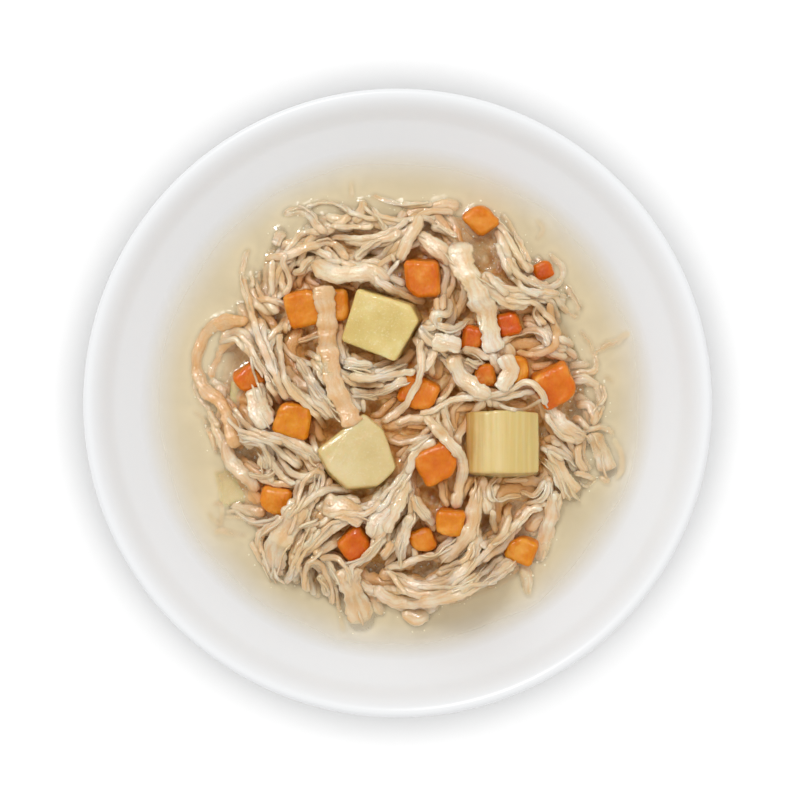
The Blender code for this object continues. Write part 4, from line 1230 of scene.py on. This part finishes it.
# %% Bake the guides into meat
def guide_mesh(name, strands):
    """All paths of some shreds as one mesh of edges, with their measures on the points."""
    mesh = bpy.data.meshes.new(name)
    points, edges = [], []
    for strand in strands:
        first = len(points)
        points += [tuple(point) for point in strand["path"]]
        edges += [(first + k, first + k + 1) for k in range(len(strand["path"]) - 1)]
    mesh.from_pydata(points, edges, [])
    obj = bpy.data.objects.new(name, mesh)
    bpy.context.scene.collection.objects.link(obj)
    for field in ("half", "thick", "tone", "pile_shade", "seed"):
        point_values(obj, field, np.concatenate([strand[field] for strand in strands]))
    for field in ("side", "up"):
        point_values(obj, field, np.concatenate([strand[field] for strand in strands]), "FLOAT_VECTOR")
    return obj


def set_tree_inputs(modifier, values):
    """Sets a modifier's inputs by the sockets' identifiers."""
    for item in modifier.node_group.interface.items_tree:
        if item.in_out == "INPUT" and item.name in values:
            modifier[item.identifier] = values[item.name]


def baked(obj, tree, values):
    """Runs a tree on an object and keeps the result as its mesh."""
    modifier = obj.modifiers.new("made by nodes", "NODES")
    modifier.node_group = tree
    set_tree_inputs(modifier, values)
    graph = bpy.context.evaluated_depsgraph_get()
    mesh = bpy.data.meshes.new_from_object(obj.evaluated_get(graph))
    obj.modifiers.clear()
    obj.data = mesh
    return obj


def make_shreds(name, strands, sides, groove):
    """One piece of meat from all the shreds of a kind."""
    obj = guide_mesh(name, strands)
    baked(obj, sweep, {"Sides": sides, "Groove depth": groove, "Material": chicken_meat})
    tidy_normals(obj)
    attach(obj, "root")
    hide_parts("chicken_heap")
    print(name, "triangles:", triangles(obj))
    return obj


make_shreds("chicken_broad_shreds", shreds["broad"], sides=22, groove=0.26)
make_shreds("chicken_shreds", shreds["middle"], sides=14, groove=0.2)
make_shreds("chicken_fine_shreds", shreds["fine"], sides=9, groove=0.18)
make_shreds("chicken_fibres", shreds["fibre"], sides=6, groove=0.1)

# %% [markdown]
# ## The heap's core
# What lies under the shreds is never seen clearly: more meat in deep shade, full of broth. It is
# the solid's own core, a little lower, roughened by noise, in a darker brown that is painted shade.

# %% The core
def core_shade_colour(tree):
    # Painted shade: the core is a darker brown than the shreds that lie on it.
    return ramp(tree, object_noise(tree, 260.0, 3.0), (0.35, "C4823C"), (0.5, "DCA45C"), (0.66, "ECC690"))


def core_bump(tree):
    return object_noise(tree, 420.0, 4.0)


CORE_SHARE, CORE_RELIEF = 0.985, 0.8 * MM  # its share of the heap's outline, and its roughness
CORE_FLOOR = 4.5 * MM  # no hollow in it goes deeper than this below the broth's level


def make_core():
    """A closed dome, whose underside follows the bowl."""
    steps, rings = 180, 46
    angles = np.arange(steps) / steps * TAU
    points, faces = [(0.0, 0.0, float(core_height(0.0, 0.0)))], []
    edge = heap_radius(angles) * CORE_SHARE
    for ring in range(1, rings + 1):
        for angle, radius in zip(angles, edge * (ring / rings)):
            x, y = radius * math.cos(angle), radius * math.sin(angle)
            strands = noise.noise(Vector((x * 300, y * 300, 0.0)))
            strands += 0.6 * noise.noise(Vector((x * 700, y * 700, 5.0)))
            height = float(core_height(x, y)) + CORE_RELIEF * strands
            points.append((x, y, max(height, LEVEL - CORE_FLOOR)))
    for angle, radius in zip(angles, edge):
        x, y = radius * math.cos(angle), radius * math.sin(angle)
        points.append((x, y, float(well_height(radius)) + 0.3 * MM))
    points.append((0.0, 0.0, FLOOR_TOP + 0.3 * MM))
    for k in range(steps):
        faces.append((0, 1 + k, 1 + (k + 1) % steps))
    for ring in range(rings):
        low, high = 1 + ring * steps, 1 + (ring + 1) * steps
        for k in range(steps):
            after = (k + 1) % steps
            faces.append((low + k, high + k, high + after, low + after))
    last = 1 + rings * steps
    for k in range(steps):
        faces.append((last + k, len(points) - 1, last + (k + 1) % steps))
    return points, faces


shaded_core_meat = wet_food(
    "shaded_core_chicken", core_shade_colour, core_bump, relief_mm=0.9,
    roughness=0.5, scatter=0.3, scatter_mm=2.0, coat=0.4,
)
core = mesh_object("chicken_core", *make_core(), shaded_core_meat)
tidy_normals(core)
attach(core, "root")
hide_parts("chicken_heap")
print("core triangles:", triangles(core))

# %% [markdown]
# ## The broth
# The surface of the broth climbs a little where it wets a shred, which is the meniscus that catches
# the light as bright arcs. Its height comes from the distance to the nearest meat on the height map.
# How much it hides grows with its depth over the bowl: clear at the waterline, milky at the heap.
# The body is closed, and only its top shows: the underside lets everything through.

# %% Distance from each cell to what stands out of the broth
def distance_to(mask, reach):
    """Steps outwards from a mask, cell by cell, up to a reach."""
    far = np.where(mask, 0.0, 1.0)
    for _ in range(int(reach / CELL)):
        for shift in ((1, 0), (-1, 0), (0, 1), (0, -1), (1, 1), (1, -1), (-1, 1), (-1, -1)):
            step = CELL if 0 in shift else CELL * 1.414
            far = np.minimum(far, np.roll(far, shift, (0, 1)) + step)
    return far


highest = np.maximum(meat, vegetables)
standing = highest > LEVEL + 0.15 * MM  # what stands out of the broth
covered = np.minimum(np.maximum(highest, well_height(grid_r)), LEVEL)
clear_depth = LEVEL - covered
for _ in range(3):
    for side in (0, 1):
        clear_depth = (clear_depth + np.roll(clear_depth, 1, side) + np.roll(clear_depth, -1, side)) / 3
shore = distance_to(standing, 6 * MM)
near_meat = np.exp(-distance_to(highest > LEVEL - 2.5 * MM, 16 * MM) / (6.5 * MM))
print(f"{(standing & (grid_r < WATERLINE_RADIUS)).sum() * CELL**2 / MM**2:.0f} mm2 stand out of the broth")


def sample(field, x, y):
    """Reads a map between its cells."""
    u = np.clip((np.asarray(x) + REACH) / CELL, 0, len(axis) - 1.001)
    v = np.clip((np.asarray(y) + REACH) / CELL, 0, len(axis) - 1.001)
    i, j = u.astype(int), v.astype(int)
    a, b = u - i, v - j
    upper = field[i, j] * (1 - a) + field[i + 1, j] * a
    lower = field[i, j + 1] * (1 - a) + field[i + 1, j + 1] * a
    return upper * (1 - b) + lower * b


# %% Broth surface and body
def make_broth_material():
    material, tree, shader = new_material("cloudy_broth")
    depth = add_node(tree, "ShaderNodeAttribute", attribute_name="depth_mm").outputs["Fac"]
    haze = add_node(tree, "ShaderNodeAttribute", attribute_name="haze").outputs["Fac"]
    span = add_node(tree, "ShaderNodeMapRange", {"Value": depth, "From Max": 7.0})
    colour = ramp(tree, span, (0.0, "FAF6EE"), (0.45, "FBF2DC"), (1.0, "F4E3BA"))
    swirl = {0: object_noise(tree, 130.0, 3.0), 1: 0.25}
    swirl = add_node(tree, "ShaderNodeMath", swirl, operation="MULTIPLY")
    cloudy = layered(tree, colour, (swirl, "F0E4C8"))
    set_inputs(tree, shader, {"Base Color": cloudy, "Alpha": haze, "Roughness": 0.04, "IOR": 1.34})
    return material


INNER_SHARE = 0.78  # the ring starts under the heap, at this share of its outline
CLIMB, CLIMB_REACH, FULL_CLIMB = 0.6 * MM, 1.0 * MM, 0.4 * MM
RIPPLE, RIPPLE_DEPTH = 0.05 * MM, 2 * MM
HAZE_DEPTH = 4.0 * MM
OPEN_HAZE, MEAT_HAZE, CLIMB_HAZE = 0.42, 0.34, 0.3  # in the open, added near meat, least on a climb


def make_broth():
    """A ring of broth from under the heap's edge out to the waterline, with how much each point hides."""
    steps, rings = 620, 66
    angles = np.arange(steps) / steps * TAU
    heap_edge = heap_radius(angles)
    inner, outer = heap_edge * INNER_SHARE, WATERLINE_RADIUS - 0.5 * MM
    points, depths, hazes, faces = [], [], [], []
    for side in (0, 1):
        for ring in range(rings + 1):
            radius = inner + (outer - inner) * (ring / rings)
            x, y = radius * np.cos(angles), radius * np.sin(angles)
            bottom = well_height(radius)
            full_depth = np.maximum(0.0, LEVEL - bottom)
            depth = np.minimum(full_depth, sample(clear_depth, x, y) + 0.3 * MM)
            if side == 0:
                climb = CLIMB * np.exp(-sample(shore, x, y) / CLIMB_REACH) * (0 < ring < rings)
                calm = RIPPLE * np.sin(x * 420 + 1.3) * np.sin(y * 390)
                calm *= np.minimum(1, full_depth / RIPPLE_DEPTH)
                z = LEVEL + climb + calm * (ring < rings)
                haze = 1 - np.exp(-((depth / HAZE_DEPTH) ** 1.4))
                haze *= OPEN_HAZE + MEAT_HAZE * sample(near_meat, x, y)
                haze *= 1 - 0.75 * np.clip((heap_edge - radius) / (6 * MM), 0, 1)
                haze = np.maximum(haze, CLIMB_HAZE * np.clip(climb / FULL_CLIMB, 0, 1))
            else:
                z = np.minimum(bottom + 0.25 * MM, LEVEL - 0.02 * MM)
                haze = np.zeros(steps)
            points += list(zip(x, y, z))
            depths += list(full_depth / MM)
            hazes += list(haze)
    layer = (rings + 1) * steps
    for side in (0, 1):
        for ring in range(rings):
            low = side * layer + ring * steps
            for k in range(steps):
                after = (k + 1) % steps
                quad = (low + k, low + steps + k, low + steps + after, low + after)
                faces.append(quad if side == 0 else quad[::-1])
    for start in (0, rings * steps):
        for k in range(steps):
            after = (k + 1) % steps
            faces.append((start + k, start + after, layer + start + after, layer + start + k))
    broth_obj = mesh_object("broth_body", points, faces, make_broth_material())
    point_values(broth_obj, "depth_mm", depths)
    point_values(broth_obj, "haze", hazes)
    bm = bmesh.new()
    bm.from_mesh(broth_obj.data)
    bmesh.ops.recalc_face_normals(bm, faces=bm.faces)
    for edge in bm.edges:
        edge.smooth = edge.calc_face_angle(0.0) < 0.6
    bm.to_mesh(broth_obj.data)
    bm.free()
    return broth_obj


broth = make_broth()
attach(broth, "root")
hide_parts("broth")
print("broth triangles:", triangles(broth))

# %% [markdown]
# ## Fat beads and bubbles
# A few drops of chicken fat and tiny bubbles float where the broth meets the meat. They repeat, so
# Geometry Nodes put a flattened ball on each of a scatter of points, with sizes from a fixed seed.

# %% Scatter the beads
def make_bead_tree():
    tree = bpy.data.node_groups.new("floating beads", "GeometryNodeTree")
    inputs = {"Spots": "Geometry", "Radius": "Float", "Material": "Material"}
    entry = named_sockets(tree, inputs, "Beads")
    ball = {"Segments": 10, "Rings": 6, "Radius": entry.outputs["Radius"]}
    bead = add_node(tree, "GeometryNodeMeshUVSphere", ball)
    widths = {2: 0.45, 3: 1.5, "Seed": 5}  # the smallest and the largest share of the radius
    wide = add_node(tree, "FunctionNodeRandomValue", widths, data_type="FLOAT")
    flat = add_node(tree, "ShaderNodeCombineXYZ", {0: wide, 1: wide, 2: 0.4})
    floating_beads = {"Points": entry.outputs["Spots"], "Instance": bead, "Scale": flat}
    finish_tree(tree, add_node(tree, "GeometryNodeInstanceOnPoints", floating_beads), entry)
    return tree


def bead_spots(count):
    """Places on the broth within 2 mm of the meat."""
    near = np.argwhere((shore > 0.4 * MM) & (shore < 2.4 * MM) & (grid_r < 84 * MM))
    chosen = [near[draw.randrange(len(near))] for _ in range(count)]
    return [(axis[i], axis[j], LEVEL + 0.12 * MM) for i, j in chosen]


def make_fat():
    material, tree, shader = new_material("chicken_fat")
    film = {"Coat Weight": 0.5, "Coat Roughness": 0.03}
    set_inputs(tree, shader, {"Base Color": linear("F1E8CC"), "Roughness": 0.05, "IOR": 1.46, **film})
    return material


beads = mesh_object("fat_beads", bead_spots(220), [], make_fat())
baked(beads, make_bead_tree(), {"Radius": 0.28 * MM, "Material": beads.data.materials[0]})
tidy_normals(beads)
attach(beads, "root")
print("bead triangles:", triangles(beads))

# %% [markdown]
# ## Floor, light and camera
# The bowl stands on a plain white sweep. A wide panel overhead and bright surroundings give most of the
# light, a smaller lamp behind and a little to the left gives the soft shadows, and a very small one
# gives wet food its glints. The camera looks straight down from 1.5 m, so the rim shows as a circle of
# 629 of the picture's 800 pixels.

# %% Floor
FLOOR_HALF = 3.0


def make_floor():
    material, tree, shader = new_material("white_paper")
    set_inputs(tree, shader, {"Base Color": linear("BCBCBC"), "Roughness": 0.9, "Specular IOR Level": 0.0})
    corners = [(x * FLOOR_HALF, y * FLOOR_HALF, 0) for x, y in ((-1, -1), (1, -1), (1, 1), (-1, 1))]
    return mesh_object("floor", corners, [(0, 1, 2, 3)], material)


floor = make_floor()
print("floor width:", 2 * FLOOR_HALF, "m")


# %% Light
def area_light(name, place, size, power):
    """A square white lamp that faces the bowl. Its place and size are in metres, its power in watts."""
    lamp = bpy.data.lights.new(name, "AREA")
    lamp.energy = power
    lamp.size = size
    obj = bpy.data.objects.new(name, lamp)
    obj.location = place
    obj.rotation_euler = (Vector((0, 0, 0.02)) - Vector(place)).to_track_quat("-Z", "Y").to_euler()
    bpy.context.scene.collection.objects.link(obj)
    return obj


def lit_by(lamp, objects, state):
    """Limits a lamp to some objects, or keeps it off them, as a photographer's flags and cards do."""
    group = bpy.data.collections.new(lamp.name + " reach")
    for obj in objects:
        group.objects.link(obj)
    lamp.light_linking.receiver_collection = group
    for link in group.collection_objects:
        link.light_linking.link_state = state


area_light("overhead", (0.0, 0.0, 1.9), size=3.0, power=8.0)
window = area_light("window", (-0.3, 0.85, 1.6), size=0.3, power=7.4)
paper_light = area_light("paper_light", (0.0, 0.0, 1.9), size=1.5, power=57.0)
sparkle = area_light("sparkle", (-0.55, 0.75, 1.3), size=0.08, power=38.0)
sparkle.visible_diffuse = False
lit_by(window, [floor], "EXCLUDE")
lit_by(paper_light, [floor], "INCLUDE")
lit_by(sparkle, [floor, bowl], "EXCLUDE")
world = bpy.data.worlds.new("studio")
world.use_nodes = True
world.node_tree.nodes["Background"].inputs["Color"].default_value = linear("FFFFFF")
world.node_tree.nodes["Background"].inputs["Strength"].default_value = 0.72
bpy.context.scene.world = world
bpy.context.scene.view_settings.view_transform = "Standard"
print("lamps:", ", ".join(sorted(lamp.name for lamp in bpy.data.lights)))

# %% Camera
CAMERA_HEIGHT, SCALE_HEIGHT = 1.531, 0.031  # metres over the table: the camera, and where the scale holds
PIXELS_PER_MM = 629 / 210  # the rim's width in pixels and in millimetres
PICTURE_PIXELS, SENSOR_MM = 800, 36
BOWL_LEFT, BOWL_LOW = 2.5, 3.0  # how far the bowl lies left of and below the picture's middle, in pixels
camera_data = bpy.data.cameras.new("camera")
camera_data.lens = PIXELS_PER_MM * SENSOR_MM / PICTURE_PIXELS * (CAMERA_HEIGHT - SCALE_HEIGHT) / MM
camera_data.clip_end = 20
camera = bpy.data.objects.new("camera", camera_data)
camera.location = (BOWL_LEFT / PIXELS_PER_MM * MM, BOWL_LOW / PIXELS_PER_MM * MM, CAMERA_HEIGHT)
bpy.context.scene.collection.objects.link(camera)
bpy.context.scene.camera = camera
print(f"lens {camera_data.lens:.0f} mm")

# %% [markdown]
# ## Finish
# The scene is brought up to date. The dressed object has to stay inside the solids' box.

# %% Bring the scene up to date
bpy.context.view_layer.update()
